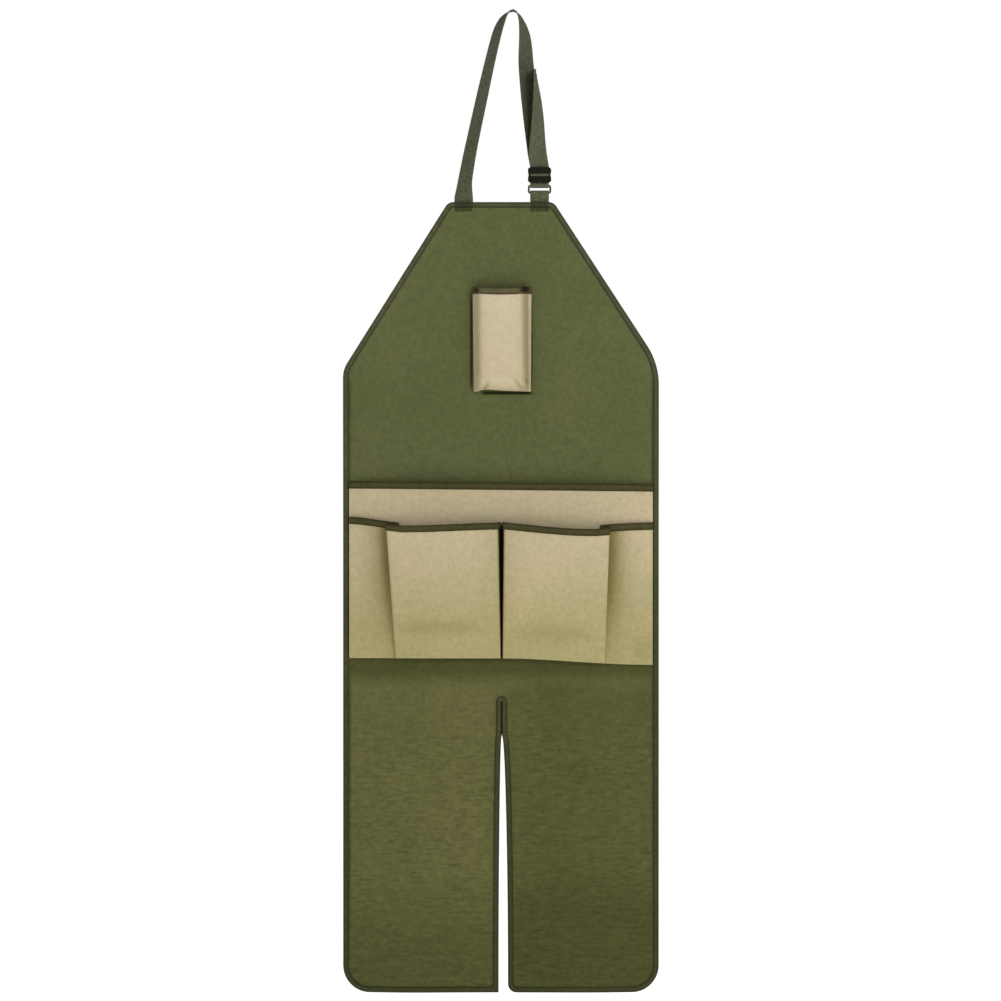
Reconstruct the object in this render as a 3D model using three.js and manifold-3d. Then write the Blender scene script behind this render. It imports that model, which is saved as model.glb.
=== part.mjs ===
import * as THREE from 'three';
import { mergeVertices } from 'three/addons/utils/BufferGeometryUtils.js';
import Module from 'manifold-3d';

// Gardening apron that hangs by its neck strap, in millimetres.
// The origin is under the top of the strap, where it hangs. X runs to the right as the front
// is looked at, Y runs away to the back, and Z is up.

// Cloths, tapes and the clearance between sewn layers
const CANVAS_THICKNESS = 1.5;
const POCKET_THICKNESS = 1.3;
const TAPE_THICKNESS = 1.0;
const WEBBING_THICKNESS = 1.6;
const WEBBING_WIDTH = 25;
const SEAM_GAP = 0.35;

// Apron panel, measured over its edge tape
const PANEL_WIDTH = 420;
const PANEL_HEIGHT = 1050;
const PANEL_SHIFT = -16;
const BIB_WIDTH = 141;
const BIB_CORNER_RADIUS = 11;
const LEFT_SHOULDER_DROP = 223;
const LEFT_SHOULDER_RADIUS = 36;
const RIGHT_SHOULDER_DROP = 215;
const RIGHT_SHOULDER_RADIUS = 95;
const HEM_CORNER_RADIUS = 34;
const EDGE_TAPE_WIDTH = 7.5;

// Slit between the legs
const SLIT_LENGTH = 386;
const SLIT_SHIFT = 1;
const SLIT_GAP_TOP = 0.7;
const SLIT_OPENING_LEFT = 4.2;
const SLIT_OPENING_RIGHT = 8.4;
const SLIT_CLOSED_LENGTH = 45;
const SLIT_PARTING = 0.62;
const SLIT_CORNER_RADIUS = 10;

// How the cloth hangs
const SIDE_FALLBACK = 13;
const FALLBACK_LENGTH = 525;
const LEG_ROLL = 4.5;
const FOLD_DEPTH = 4;

// Soft folds down the cloth: place and half width across as shares of half the panel's width,
// start and full depth as shares of its height, and depth as a share of FOLD_DEPTH
const FOLDS = [
  { across: -0.66, halfWidth: 0.28, start: 0.60, full: 0.90, depth: 0.8 },
  { across: -0.28, halfWidth: 0.26, start: 0.62, full: 0.80, depth: -0.7 },
  { across: 0.34, halfWidth: 0.28, start: 0.61, full: 0.88, depth: -0.5 },
  { across: 0.74, halfWidth: 0.28, start: 0.60, full: 0.92, depth: 0.7 },
  { across: -0.45, halfWidth: 0.30, start: 0.10, full: 0.24, depth: 0.35 },
  { across: 0.50, halfWidth: 0.28, start: 0.08, full: 0.22, depth: 0.45 },
];

// Pockets, measured over their mouth tape
const POCKET_TAPE_WIDTH = 9.5;
const POCKET_HEM_DROP = 606;
const POCKET_HEM_FALL = 9;
const POCKET_HEM_FALL_REACH = 0.95;
const PLEAT_OPENING = 0.9;
const SEAT_SETTLING = 3;

const PHONE_POCKET_WIDTH = 77;
const PHONE_POCKET_HEIGHT = 139;
const PHONE_POCKET_DROP = 113;
const PHONE_POCKET_SHIFT = 1.5;
const PHONE_POCKET_DEPTH = 14;
const PHONE_POCKET_TOE = 19;

const TOOL_POCKET_DROP = 371;
const TOOL_POCKET_TILT = 4;
const TOOL_POCKET_DEPTH = 10;
const TOOL_POCKET_CLOSING = 2;
const TOOL_POCKET_FLATNESS = 4;

const FRONT_POCKET_DROP = 418;
const FRONT_POCKET_DEPTH = 8;
const FRONT_POCKET_DIVIDE = 1.9;
const FRONT_POCKET_CLOSING = 2.4;

// Pocket profiles from one side seam to the other. Columns: place at the mouth and at the hem
// as shares of the pocket's width, stand-off at the mouth as a share of its depth, pleat layers
// underneath, and dip of the mouth as a share of the pocket's height
const PHONE_POCKET_PROFILE = [
  { mouth: 0.00, hem: 0.02, standOff: 0.00, layer: 0, dip: 0.000 },
  { mouth: 0.04, hem: 0.06, standOff: 0.55, layer: 0, dip: 0.000 },
  { mouth: 0.11, hem: 0.12, standOff: 0.96, layer: 0, dip: 0.000 },
  { mouth: 0.28, hem: 0.30, standOff: 1.06, layer: 0, dip: 0.004 },
  { mouth: 0.47, hem: 0.50, standOff: 1.10, layer: 0, dip: 0.006 },
  { mouth: 0.66, hem: 0.70, standOff: 1.06, layer: 0, dip: 0.004 },
  { mouth: 0.82, hem: 0.86, standOff: 0.98, layer: 0, dip: 0.000 },
  { mouth: 0.93, hem: 0.94, standOff: 0.52, layer: 0, dip: 0.000 },
  { mouth: 1.00, hem: 0.99, standOff: 0.00, layer: 0, dip: 0.000 },
];

const LEFT_FRONT_PROFILE = [
  { mouth: 0.000, hem: 0.000, standOff: 0.00, layer: 0, dip: 0.000 },
  { mouth: 0.110, hem: 0.130, standOff: 0.22, layer: 0, dip: 0.010 },
  { mouth: 0.220, hem: 0.260, standOff: 0.48, layer: 0, dip: 0.028 },
  { mouth: 0.326, hem: 0.380, standOff: 0.70, layer: 0, dip: 0.040 },
  { mouth: 0.326, hem: 0.380, standOff: 0.72, layer: 1, dip: 0.042 },
  { mouth: 0.244, hem: 0.306, standOff: 0.76, layer: 1, dip: 0.046 },
  { mouth: 0.244, hem: 0.306, standOff: 0.78, layer: 2, dip: 0.048 },
  { mouth: 0.345, hem: 0.405, standOff: 0.92, layer: 2, dip: 0.062 },
  { mouth: 0.500, hem: 0.530, standOff: 1.00, layer: 2, dip: 0.060 },
  { mouth: 0.660, hem: 0.690, standOff: 1.00, layer: 2, dip: 0.053 },
  { mouth: 0.820, hem: 0.840, standOff: 0.92, layer: 2, dip: 0.046 },
  { mouth: 0.979, hem: 0.996, standOff: 0.76, layer: 2, dip: 0.040 },
  { mouth: 0.993, hem: 1.000, standOff: 0.00, layer: 0, dip: 0.036 },
];

const RIGHT_FRONT_PROFILE = [
  { mouth: 0.000, hem: 0.000, standOff: 0.00, layer: 0, dip: 0.040 },
  { mouth: 0.115, hem: 0.125, standOff: 0.20, layer: 0, dip: 0.044 },
  { mouth: 0.235, hem: 0.250, standOff: 0.42, layer: 0, dip: 0.050 },
  { mouth: 0.350, hem: 0.385, standOff: 0.62, layer: 0, dip: 0.058 },
  { mouth: 0.350, hem: 0.385, standOff: 0.64, layer: 1, dip: 0.062 },
  { mouth: 0.289, hem: 0.320, standOff: 0.68, layer: 1, dip: 0.074 },
  { mouth: 0.289, hem: 0.320, standOff: 0.72, layer: 2, dip: 0.078 },
  { mouth: 0.380, hem: 0.410, standOff: 0.90, layer: 2, dip: 0.086 },
  { mouth: 0.520, hem: 0.550, standOff: 1.04, layer: 2, dip: 0.084 },
  { mouth: 0.680, hem: 0.700, standOff: 1.04, layer: 2, dip: 0.072 },
  { mouth: 0.840, hem: 0.850, standOff: 0.92, layer: 2, dip: 0.055 },
  { mouth: 0.989, hem: 0.996, standOff: 0.72, layer: 2, dip: 0.038 },
  { mouth: 0.993, hem: 1.000, standOff: 0.00, layer: 0, dip: 0.036 },
];

// Neck strap and its hardware
const LOOP_HEIGHT = 254;
const STRAP_FOOT_SHIFT = -49.5;
const TAB_SHIFT = 51.3;
const SEWN_LENGTH = 30;
const TAB_HEIGHT = 12.4;
const RING_WIDTH = 31;
const RING_HEIGHT = 12;
const RING_WIRE = 2.5;
const RING_CORNER_RADIUS = 2.2;
const SLIDER_RISE = 36;
const SLIDER_WIDTH = 31;
const SLIDER_HEIGHT = 21;
const SLIDER_WINDOW = 3.4;
const SLIDER_WAIST = 1.1;
const SLIDER_BAR_THICKNESS = 2.5;
const SLIDER_CENTRE_BAR_HEIGHT = 4;
const SLIDER_RAIL_WIDTH = 1.3;
const SLIDER_RAIL_HEIGHT = 13;
const SLIDER_BEVEL = 0.5;

// Runs of the strap: rise above the bib as a share of the loop's height, reach from the run's
// foot towards the top of the loop, depth as a share of the webbing's width, and the direction
// of one edge of the webbing, in degrees round the vertical
const LEFT_RUN = [
  { rise: 0.025, reach: 0.000, depth: 0.00, facing: 10 },
  { rise: 0.062, reach: 0.010, depth: 0.00, facing: 30 },
  { rise: 0.114, reach: 0.030, depth: 0.00, facing: 41 },
  { rise: 0.218, reach: 0.100, depth: 0.00, facing: 46 },
  { rise: 0.321, reach: 0.180, depth: 0.00, facing: 49 },
  { rise: 0.528, reach: 0.354, depth: 0.00, facing: 52 },
  { rise: 0.736, reach: 0.535, depth: 0.00, facing: 57 },
  { rise: 0.881, reach: 0.677, depth: 0.00, facing: 60 },
  { rise: 0.943, reach: 0.768, depth: 0.00, facing: 66 },
  { rise: 0.974, reach: 0.842, depth: 0.00, facing: 75 },
  { rise: 0.992, reach: 0.916, depth: 0.00, facing: 84 },
  { rise: 1.000, reach: 1.000, depth: 0.00, facing: 90 },
];
const RIGHT_RUN = [
  { rise: 0.992, reach: 0.870, depth: 0.00, facing: 94 },
  { rise: 0.974, reach: 0.770, depth: 0.00, facing: 99 },
  { rise: 0.943, reach: 0.680, depth: 0.01, facing: 107 },
  { rise: 0.902, reach: 0.600, depth: 0.02, facing: 118 },
  { rise: 0.839, reach: 0.540, depth: 0.04, facing: 130 },
  { rise: 0.736, reach: 0.514, depth: 0.06, facing: 142 },
  { rise: 0.632, reach: 0.455, depth: 0.08, facing: 146 },
  { rise: 0.528, reach: 0.380, depth: 0.10, facing: 148 },
  { rise: 0.425, reach: 0.290, depth: 0.11, facing: 151 },
  { rise: 0.321, reach: 0.185, depth: 0.13, facing: 156 },
  { rise: 0.255, reach: 0.100, depth: 0.13, facing: 168 },
  { rise: 0.215, reach: 0.040, depth: 0.12, facing: 176 },
];
const TAIL_RUN = [
  { rise: 0.215, reach: 0.040, depth: -0.04, facing: 176 },
  { rise: 0.255, reach: 0.070, depth: -0.05, facing: 164 },
  { rise: 0.321, reach: 0.072, depth: -0.06, facing: 145 },
  { rise: 0.425, reach: 0.066, depth: -0.08, facing: 130 },
  { rise: 0.528, reach: 0.090, depth: -0.12, facing: 116 },
  { rise: 0.620, reach: 0.140, depth: -0.20, facing: 102 },
  { rise: 0.690, reach: 0.185, depth: -0.30, facing: 93 },
];

// Facets: spacing of the rows down the panel, least spacing, and columns across each leg and
// across the tool pocket
const ROW_SPACING = 38;
const ROW_CLOSEST = 2.4;
const LEG_COLUMNS = 9;
const COLUMN_SPREAD = 11;
const TOOL_POCKET_COLUMNS = 14;

// Finish of each cloth and plastic
const CANVAS_OLIVE = { color: '#5b5e3b', roughness: 0.9, metalness: 0 };
const TAPE_OLIVE = { color: '#454730', roughness: 0.88, metalness: 0 };
const POCKET_TAN = { color: '#b7a883', roughness: 0.9, metalness: 0 };
const PHONE_TAN = { color: '#c6b99b', roughness: 0.9, metalness: 0 };
const WEBBING_OLIVE = { color: '#55583f', roughness: 0.85, metalness: 0 };
const SLIDER_BLACK = { color: '#1c1d17', roughness: 0.45, metalness: 0 };
const RING_BLACK = { color: '#23241d', roughness: 0.4, metalness: 0.3 };

// Sizes that follow from the ones above
const BIB_TOP = -LOOP_HEIGHT;
const EDGE_INSET = SEAM_GAP + TAPE_THICKNESS;
const TAPED_HALF_CANVAS = CANVAS_THICKNESS / 2 + SEAM_GAP + TAPE_THICKNESS;
const STACK_BEHIND_BIB = TAPED_HALF_CANVAS + SEAM_GAP + WEBBING_THICKNESS / 2;
const TAPED_STACK = POCKET_THICKNESS + 2 * (SEAM_GAP + TAPE_THICKNESS) + SEAM_GAP;
const SEWN_STACK = POCKET_THICKNESS + SEAM_GAP;
const WEBBING_STACK = WEBBING_THICKNESS + SEAM_GAP;
const POCKET_SIDE = PANEL_WIDTH / 2 - EDGE_TAPE_WIDTH - 2 * SEAM_GAP;
const HARDWARE_X = PANEL_SHIFT + TAB_SHIFT;
const HARDWARE_Y = WEBBING_STACK / 2;
const RING_WRAP_RADIUS = RING_WIRE / 2 + SEAM_GAP + WEBBING_THICKNESS / 2;
const RING_LOWER_BAR = BIB_TOP + TAB_HEIGHT;
const RING_UPPER_BAR = RING_LOWER_BAR + RING_HEIGHT - RING_WIRE;

const { clamp, lerp, smoothstep, degToRad } = THREE.MathUtils;

// Closed mesh from points and triangles, with its faces turned outwards
function closedGeometry(points, triangles) {
  let volume = 0;
  for (let i = 0; i < triangles.length; i += 3) {
    const [a, b, c] = [points[triangles[i]], points[triangles[i + 1]], points[triangles[i + 2]]];
    volume += a.dot(new THREE.Vector3().crossVectors(b, c));
  }
  const outward = volume > 0 ? triangles : triangles.slice().reverse();
  const geometry = new THREE.BufferGeometry();
  const coordinates = points.flatMap((point) => point.toArray());
  geometry.setAttribute('position', new THREE.Float32BufferAttribute(coordinates, 3));
  geometry.setIndex(outward);
  geometry.computeVertexNormals();
  return geometry;
}

// Thin wall between two grids of points of the same size. The rows may close into a loop, and
// cells for which keep is false are left open. Each cell is split along its shorter diagonal.
function wallGeometry(front, back, { loop = false, keep = () => true } = {}) {
  const rows = front.length;
  const columns = front[0].length;
  const behind = rows * columns;
  const points = [...front.flat(), ...back.flat()];
  const at = (row, column) => (row % rows) * columns + column;
  const triangles = [];
  const quad = (a, b, c, d) => triangles.push(a, b, c, a, c, d);
  const edges = new Map();
  for (let row = 0; row < (loop ? rows : rows - 1); row++) {
    for (let column = 0; column < columns - 1; column++) {
      if (!keep(row, column)) continue;
      const corners = [at(row, column), at(row + 1, column), at(row + 1, column + 1), at(row, column + 1)];
      const [first, second, third, fourth] = corners.map((index) => points[index]);
      if (first.distanceTo(third) > second.distanceTo(fourth)) corners.push(corners.shift());
      quad(...corners);
      const [a, b, c, d] = corners.map((index) => index + behind);
      triangles.push(a, c, b, a, d, c);
      corners.forEach((start, i) => {
        const end = corners[(i + 1) % 4];
        edges.set(`${start},${end}`, [start, end]);
      });
    }
  }
  for (const [start, end] of edges.values()) {
    if (!edges.has(`${end},${start}`)) quad(end, start, start + behind, end + behind);
  }
  const used = [...new Set(triangles)].sort((a, b) => a - b);
  const place = new Map(used.map((index, i) => [index, i]));
  return closedGeometry(used.map((index) => points[index]), triangles.map((index) => place.get(index)));
}

// Round wire along a closed loop of points in the XZ plane
function wireLoopGeometry(path, radius, sides) {
  const points = [];
  const triangles = [];
  path.forEach((centre, i) => {
    const before = path[(i + path.length - 1) % path.length];
    const after = path[(i + 1) % path.length];
    const along = new THREE.Vector3().subVectors(after, before).normalize();
    const side = new THREE.Vector3(along.z, 0, -along.x);
    for (let k = 0; k < sides; k++) {
      const angle = (2 * Math.PI * k) / sides;
      const point = centre.clone().addScaledVector(side, radius * Math.cos(angle));
      points.push(point.add(new THREE.Vector3(0, radius * Math.sin(angle), 0)));
    }
  });
  for (let i = 0; i < path.length; i++) {
    for (let k = 0; k < sides; k++) {
      const next = ((i + 1) % path.length) * sides;
      const [a, b] = [i * sides + k, i * sides + ((k + 1) % sides)];
      const [c, d] = [next + ((k + 1) % sides), next + k];
      triangles.push(a, b, c, a, c, d);
    }
  }
  return closedGeometry(points, triangles);
}

// Polyline through corners, each rounded by its own radius
function roundedLine(corners, steps = 4) {
  const points = [];
  corners.forEach(({ x, z, radius = 0 }, i) => {
    const corner = new THREE.Vector2(x, z);
    if (radius === 0 || i === 0 || i === corners.length - 1) {
      points.push(corner);
      return;
    }
    const back = new THREE.Vector2(corners[i - 1].x - x, corners[i - 1].z - z).normalize();
    const ahead = new THREE.Vector2(corners[i + 1].x - x, corners[i + 1].z - z).normalize();
    const halfAngle = Math.acos(back.dot(ahead)) / 2;
    const middle = back.clone().add(ahead).normalize();
    const centre = corner.clone().addScaledVector(middle, radius / Math.sin(halfAngle));
    const first = corner.clone().addScaledVector(back, radius / Math.tan(halfAngle)).sub(centre);
    const turn = Math.PI - 2 * halfAngle;
    const sense = Math.sign(back.x * ahead.y - back.y * ahead.x);
    for (let step = 0; step <= steps; step++) {
      const angle = (-sense * turn * step) / steps;
      points.push(first.clone().rotateAround(new THREE.Vector2(), angle).add(centre));
    }
  });
  return points;
}

// Depth of the middle of the panel's cloth at a place on the apron
function drape(x, z) {
  const drop = (BIB_TOP - z) / PANEL_HEIGHT;
  const across = (x - PANEL_SHIFT) / (PANEL_WIDTH / 2);
  const bow = SIDE_FALLBACK * across * across * smoothstep(BIB_TOP - z, 0, FALLBACK_LENGTH);
  const legCrown = 1 - (2 * Math.abs(across) - 1) ** 2;
  const roll = LEG_ROLL * legCrown * smoothstep(drop, 1 - SLIT_LENGTH / PANEL_HEIGHT, 1);
  let fold = 0;
  for (const { across: place, halfWidth, start, full, depth } of FOLDS) {
    fold += depth * Math.exp(-(((across - place) / halfWidth) ** 2)) * smoothstep(drop, start, full);
  }
  return -STACK_BEHIND_BIB + bow - roll - FOLD_DEPTH * fold;
}

// Right and left outline of the cloth inside its tape, from the bib's top to the hem
function sideOutline(side, shoulderDrop, shoulderRadius) {
  const edge = PANEL_WIDTH / 2 - EDGE_INSET;
  const top = BIB_TOP - EDGE_INSET;
  const hem = BIB_TOP - PANEL_HEIGHT + EDGE_INSET;
  const corners = [
    { x: PANEL_SHIFT, z: top },
    { x: PANEL_SHIFT + side * (BIB_WIDTH / 2 - EDGE_INSET), z: top, radius: BIB_CORNER_RADIUS },
    { x: PANEL_SHIFT + side * edge, z: BIB_TOP - shoulderDrop, radius: shoulderRadius },
    { x: PANEL_SHIFT + side * edge, z: hem, radius: HEM_CORNER_RADIUS },
    { x: PANEL_SHIFT, z: hem },
  ];
  return roundedLine(corners).slice(1, -1);
}

// Where an outline that runs downwards crosses a height
function crossing(outline, z) {
  for (let i = 1; i < outline.length; i++) {
    const [upper, lower] = [outline[i - 1], outline[i]];
    if (z >= lower.y) return lerp(upper.x, lower.x, (upper.y - z) / (upper.y - lower.y));
  }
  return outline.at(-1).x;
}

// Edge of the cloth on one side of the slit, whose edges touch over its first stretch and then
// part. Above the slit the two lines of the grid spread to the spacing of its other columns.
function slitEdge(side, z) {
  const hem = BIB_TOP - PANEL_HEIGHT + EDGE_INSET;
  const below = hem + SLIT_LENGTH - z;
  const opening = side < 0 ? SLIT_OPENING_LEFT : SLIT_OPENING_RIGHT;
  const parted = clamp((below - SLIT_CLOSED_LENGTH) / (SLIT_LENGTH - SLIT_CLOSED_LENGTH), 0, 1);
  const above = Math.min(Math.max(-below / SLIT_LENGTH, 0), 1);
  const spread = opening * Math.sin((Math.PI / 2) * parted) ** SLIT_PARTING + COLUMN_SPREAD * above;
  const halfGap = SLIT_GAP_TOP / 2 + EDGE_INSET + spread;
  const height = z - hem;
  const round = side > 0 && height < SLIT_CORNER_RADIUS ? SLIT_CORNER_RADIUS - height : 0;
  const corner = SLIT_CORNER_RADIUS - Math.sqrt(SLIT_CORNER_RADIUS ** 2 - round ** 2);
  return PANEL_SHIFT + SLIT_SHIFT + side * (halfGap + corner);
}

// Heights of the rows of the panel's grid: every turn of its outline and a steady spacing
function panelRows(outlines) {
  const hem = BIB_TOP - PANEL_HEIGHT + EDGE_INSET;
  const top = BIB_TOP - EDGE_INSET;
  const turns = outlines.flat().map((point) => point.y);
  for (const share of [0.3, 0.7]) turns.push(hem + SLIT_CORNER_RADIUS * share);
  const fixed = [top, hem + SLIT_LENGTH, hem];
  const free = turns.filter((z) => fixed.every((kept) => Math.abs(kept - z) > ROW_CLOSEST));
  const marks = [...new Set([...fixed, ...free])].sort((a, b) => b - a);
  const rows = [marks[0]];
  for (const mark of marks.slice(1)) {
    const last = rows.at(-1);
    const keep = fixed.includes(mark) || last - mark > ROW_CLOSEST;
    if (!keep) continue;
    const steps = Math.ceil((last - mark) / ROW_SPACING);
    for (let step = 1; step <= steps; step++) rows.push(lerp(last, mark, step / steps));
  }
  return rows;
}

// Flat grid of the panel: for each row the places across it, left leg first
function panelGrid() {
  const left = sideOutline(-1, LEFT_SHOULDER_DROP, LEFT_SHOULDER_RADIUS);
  const right = sideOutline(1, RIGHT_SHOULDER_DROP, RIGHT_SHOULDER_RADIUS);
  return panelRows([left, right]).map((z) => {
    const places = [];
    for (let i = 0; i <= LEG_COLUMNS; i++) {
      places.push(new THREE.Vector2(lerp(crossing(left, z), slitEdge(-1, z), i / LEG_COLUMNS), z));
    }
    for (let i = 0; i <= LEG_COLUMNS; i++) {
      places.push(new THREE.Vector2(lerp(slitEdge(1, z), crossing(right, z), i / LEG_COLUMNS), z));
    }
    return places;
  });
}

function onPanel(place, offset = 0) {
  return new THREE.Vector3(place.x, drape(place.x, place.y) + offset, place.y);
}

function panelGeometry(grid, slitRow) {
  const half = CANVAS_THICKNESS / 2;
  const front = grid.map((row) => row.map((place) => onPanel(place, -half)));
  const back = grid.map((row) => row.map((place) => onPanel(place, half)));
  return wallGeometry(front, back, { keep: (row, column) => column !== LEG_COLUMNS || row < slitRow });
}

// Round end of the slit, from its right edge to its left
function slitTop(left, right, steps = 6) {
  const radius = (right.x - left.x) / 2;
  return Array.from({ length: steps + 1 }, (_, i) => {
    const angle = (Math.PI * i) / steps;
    const rise = radius * (Math.sin(angle) - 1);
    return new THREE.Vector2((left.x + right.x) / 2 + radius * Math.cos(angle), left.y + rise);
  });
}

// Outline of the cloth, clockwise as the front is looked at
function panelOutline(grid, slitRow) {
  const last = grid.length - 1;
  const end = grid[0].length - 1;
  const down = (column, from) => grid.slice(from).map((row) => row[column]);
  const hem = grid[last];
  return [
    ...grid[0],
    ...down(end, 1),
    ...hem.slice(LEG_COLUMNS + 1, end).reverse(),
    ...down(LEG_COLUMNS + 1, slitRow + 1).slice(0, -1).reverse(),
    ...slitTop(grid[slitRow][LEG_COLUMNS], grid[slitRow][LEG_COLUMNS + 1]),
    ...down(LEG_COLUMNS, slitRow + 1).filter((place) => place.y > hem[0].y + EDGE_TAPE_WIDTH),
    ...hem.slice(0, LEG_COLUMNS + 1).reverse(),
    ...down(0, 1).slice(0, -1).reverse(),
  ];
}

// One section of folded tape round an edge of cloth: four points on the outside of the fold and
// four on the inside, from the front flange over the edge to the back flange
function tapeSection({ edge, flange, edgeNormal, flangeNormal, outward }, clothThickness) {
  const point = (base, normal, offset, reach) =>
    base.clone().addScaledVector(normal, offset).addScaledVector(outward, reach);
  const inside = clothThickness / 2 + SEAM_GAP;
  const outside = inside + TAPE_THICKNESS;
  const section = (offset, reach) => [
    point(flange, flangeNormal, offset, 0),
    point(edge, edgeNormal, offset, reach),
    point(edge, edgeNormal, -offset, reach),
    point(flange, flangeNormal, -offset, 0),
  ];
  return { outer: section(outside, EDGE_INSET), inner: section(inside, SEAM_GAP) };
}

function tapeGeometry(stations, clothThickness, loop = false) {
  const sections = stations.map((station) => tapeSection(station, clothThickness));
  const outer = sections.map((section) => section.outer);
  const inner = sections.map((section) => section.inner);
  return wallGeometry(outer, inner, { loop });
}

// Tape round the panel's outline, mitred where it turns
function edgeBindingGeometry(outline) {
  const forward = new THREE.Vector3(0, -1, 0);
  const reach = EDGE_TAPE_WIDTH - EDGE_INSET;
  const inwardOf = (from, to) => new THREE.Vector2(to.y - from.y, from.x - to.x).normalize();
  const stations = outline.map((place, i) => {
    const before = inwardOf(outline[(i + outline.length - 1) % outline.length], place);
    const after = inwardOf(place, outline[(i + 1) % outline.length]);
    const inward = before.clone().add(after).divideScalar(1 + before.dot(after));
    return {
      edge: onPanel(place),
      flange: onPanel(place.clone().addScaledVector(inward, reach)),
      edgeNormal: forward,
      flangeNormal: forward,
      outward: new THREE.Vector3(-inward.x, 0, -inward.y),
    };
  });
  return tapeGeometry(stations, CANVAS_THICKNESS, true);
}

// Cloth of a pocket as a grid in rows from the mouth to the hem. Each point has its place across,
// its height and how far the middle of the cloth stands off what carries the pocket.
function pocketGrid({ profile, width, left, side, top, hem, depth, closing, rows }) {
  const clothTop = (row) => top - EDGE_INSET - row.dip * (top - hem(left));
  const taped = (POCKET_TAPE_WIDTH - EDGE_INSET) / (clothTop(profile[0]) - hem(left));
  const levels = [0, taped];
  for (let i = 1; i <= rows; i++) levels.push(lerp(taped, 1, i / rows));
  return levels.map((level) => {
    const open = closing(level);
    const settled = smoothstep(level, taped, SEAT_SETTLING * taped);
    const seat = (lerp(TAPED_STACK, SEWN_STACK, settled) + SEAM_GAP) / 2;
    const points = profile.map((row) => {
      const share = lerp(row.mouth, row.hem, level);
      const x = side > 0 ? left + width * (1 - share) : left + width * share;
      const pleat = row.layer * lerp(SEWN_STACK, TAPED_STACK, smoothstep(open, 0, PLEAT_OPENING));
      return { x, z: lerp(clothTop(row), hem(x), level), depth: seat + pleat + depth * row.standOff * open };
    });
    return side > 0 ? points.reverse() : points;
  });
}

// Direction away from the face of a folded cloth at each point of one row, lengthened at folds
// so that both sides keep the cloth's thickness
function foldNormals(row) {
  const segments = row.slice(1).map((point, i) => {
    const along = new THREE.Vector2(point.x - row[i].x, point.depth - row[i].depth).normalize();
    return new THREE.Vector2(-along.y, along.x);
  });
  return row.map((_, i) => {
    const before = segments[Math.max(i - 1, 0)];
    const after = segments[Math.min(i, segments.length - 1)];
    return before.clone().add(after).divideScalar(1 + before.dot(after));
  });
}

function pocketGeometry(grid, carrier) {
  const half = POCKET_THICKNESS / 2;
  const face = (offset) => grid.map((row) => {
    const normals = foldNormals(row);
    return row.map(({ x, z, depth }, i) => {
      const placed = x + normals[i].x * offset;
      return new THREE.Vector3(placed, carrier(x, z) - depth - normals[i].y * offset, z);
    });
  });
  return wallGeometry(face(half), face(-half));
}

// Tape over the mouth of a pocket, along its first two rows
function mouthBindingGeometry(grid, carrier) {
  const place = ({ x, z, depth }) => new THREE.Vector3(x, carrier(x, z) - depth, z);
  const direction = (normal) => new THREE.Vector3(normal.x, -normal.y, 0);
  const [edgeNormals, flangeNormals] = [foldNormals(grid[0]), foldNormals(grid[1])];
  const stations = grid[0].map((point, i) => ({
    edge: place(point),
    flange: place(grid[1][i]),
    edgeNormal: direction(edgeNormals[i]),
    flangeNormal: direction(flangeNormals[i]),
    outward: new THREE.Vector3(0, 0, 1),
  }));
  return tapeGeometry(stations, POCKET_THICKNESS);
}

// Bottom seam of the waist pockets, which falls a little towards the right
function pocketHem(x) {
  const rightward = (x - PANEL_SHIFT) / (PANEL_WIDTH / 2);
  return BIB_TOP - POCKET_HEM_DROP - POCKET_HEM_FALL * smoothstep(rightward, 0, POCKET_HEM_FALL_REACH);
}

const panelFront = (x, z) => drape(x, z) - CANVAS_THICKNESS / 2;

// Share of the phone pocket's depth at a level, which rounds off over its toe
function phonePocketClosing(level) {
  const intoToe = Math.max(0, 1 - ((1 - level) * PHONE_POCKET_HEIGHT) / PHONE_POCKET_TOE);
  return Math.sqrt(1 - intoToe ** 2);
}

function phonePocketGrid() {
  const top = BIB_TOP - PHONE_POCKET_DROP;
  return pocketGrid({
    profile: PHONE_POCKET_PROFILE,
    width: PHONE_POCKET_WIDTH,
    left: PANEL_SHIFT + PHONE_POCKET_SHIFT - PHONE_POCKET_WIDTH / 2,
    side: -1,
    top,
    hem: () => top - PHONE_POCKET_HEIGHT,
    depth: PHONE_POCKET_DEPTH,
    closing: phonePocketClosing,
    rows: 12,
  });
}

// Rear pocket across the waist: share of its depth at a place across it
const toolPocketSwell = (share) => 1 - Math.abs(2 * share - 1) ** TOOL_POCKET_FLATNESS;

function toolPocketGrid() {
  const profile = Array.from({ length: TOOL_POCKET_COLUMNS + 1 }, (_, i) => {
    const share = i / TOOL_POCKET_COLUMNS;
    const dip = (TOOL_POCKET_TILT * share) / (POCKET_HEM_DROP - TOOL_POCKET_DROP);
    return { mouth: share, hem: share, standOff: toolPocketSwell(share), layer: 0, dip };
  });
  return pocketGrid({
    profile,
    width: 2 * POCKET_SIDE,
    left: PANEL_SHIFT - POCKET_SIDE,
    side: -1,
    top: BIB_TOP - TOOL_POCKET_DROP,
    hem: pocketHem,
    depth: TOOL_POCKET_DEPTH,
    closing: (level) => 1 - level ** TOOL_POCKET_CLOSING,
    rows: 9,
  });
}

// Front face of the rear pocket, which carries the front pockets
function toolPocketFront(x, z) {
  const top = BIB_TOP - TOOL_POCKET_DROP - EDGE_INSET;
  const level = (top - z) / (top - pocketHem(x));
  const share = clamp((x - PANEL_SHIFT + POCKET_SIDE) / (2 * POCKET_SIDE), 0, 1);
  const open = 1 - clamp(level, 0, 1) ** TOOL_POCKET_CLOSING;
  const swell = TOOL_POCKET_DEPTH * toolPocketSwell(share) * open;
  return panelFront(x, z) - SEAM_GAP - POCKET_THICKNESS - swell;
}

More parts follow.
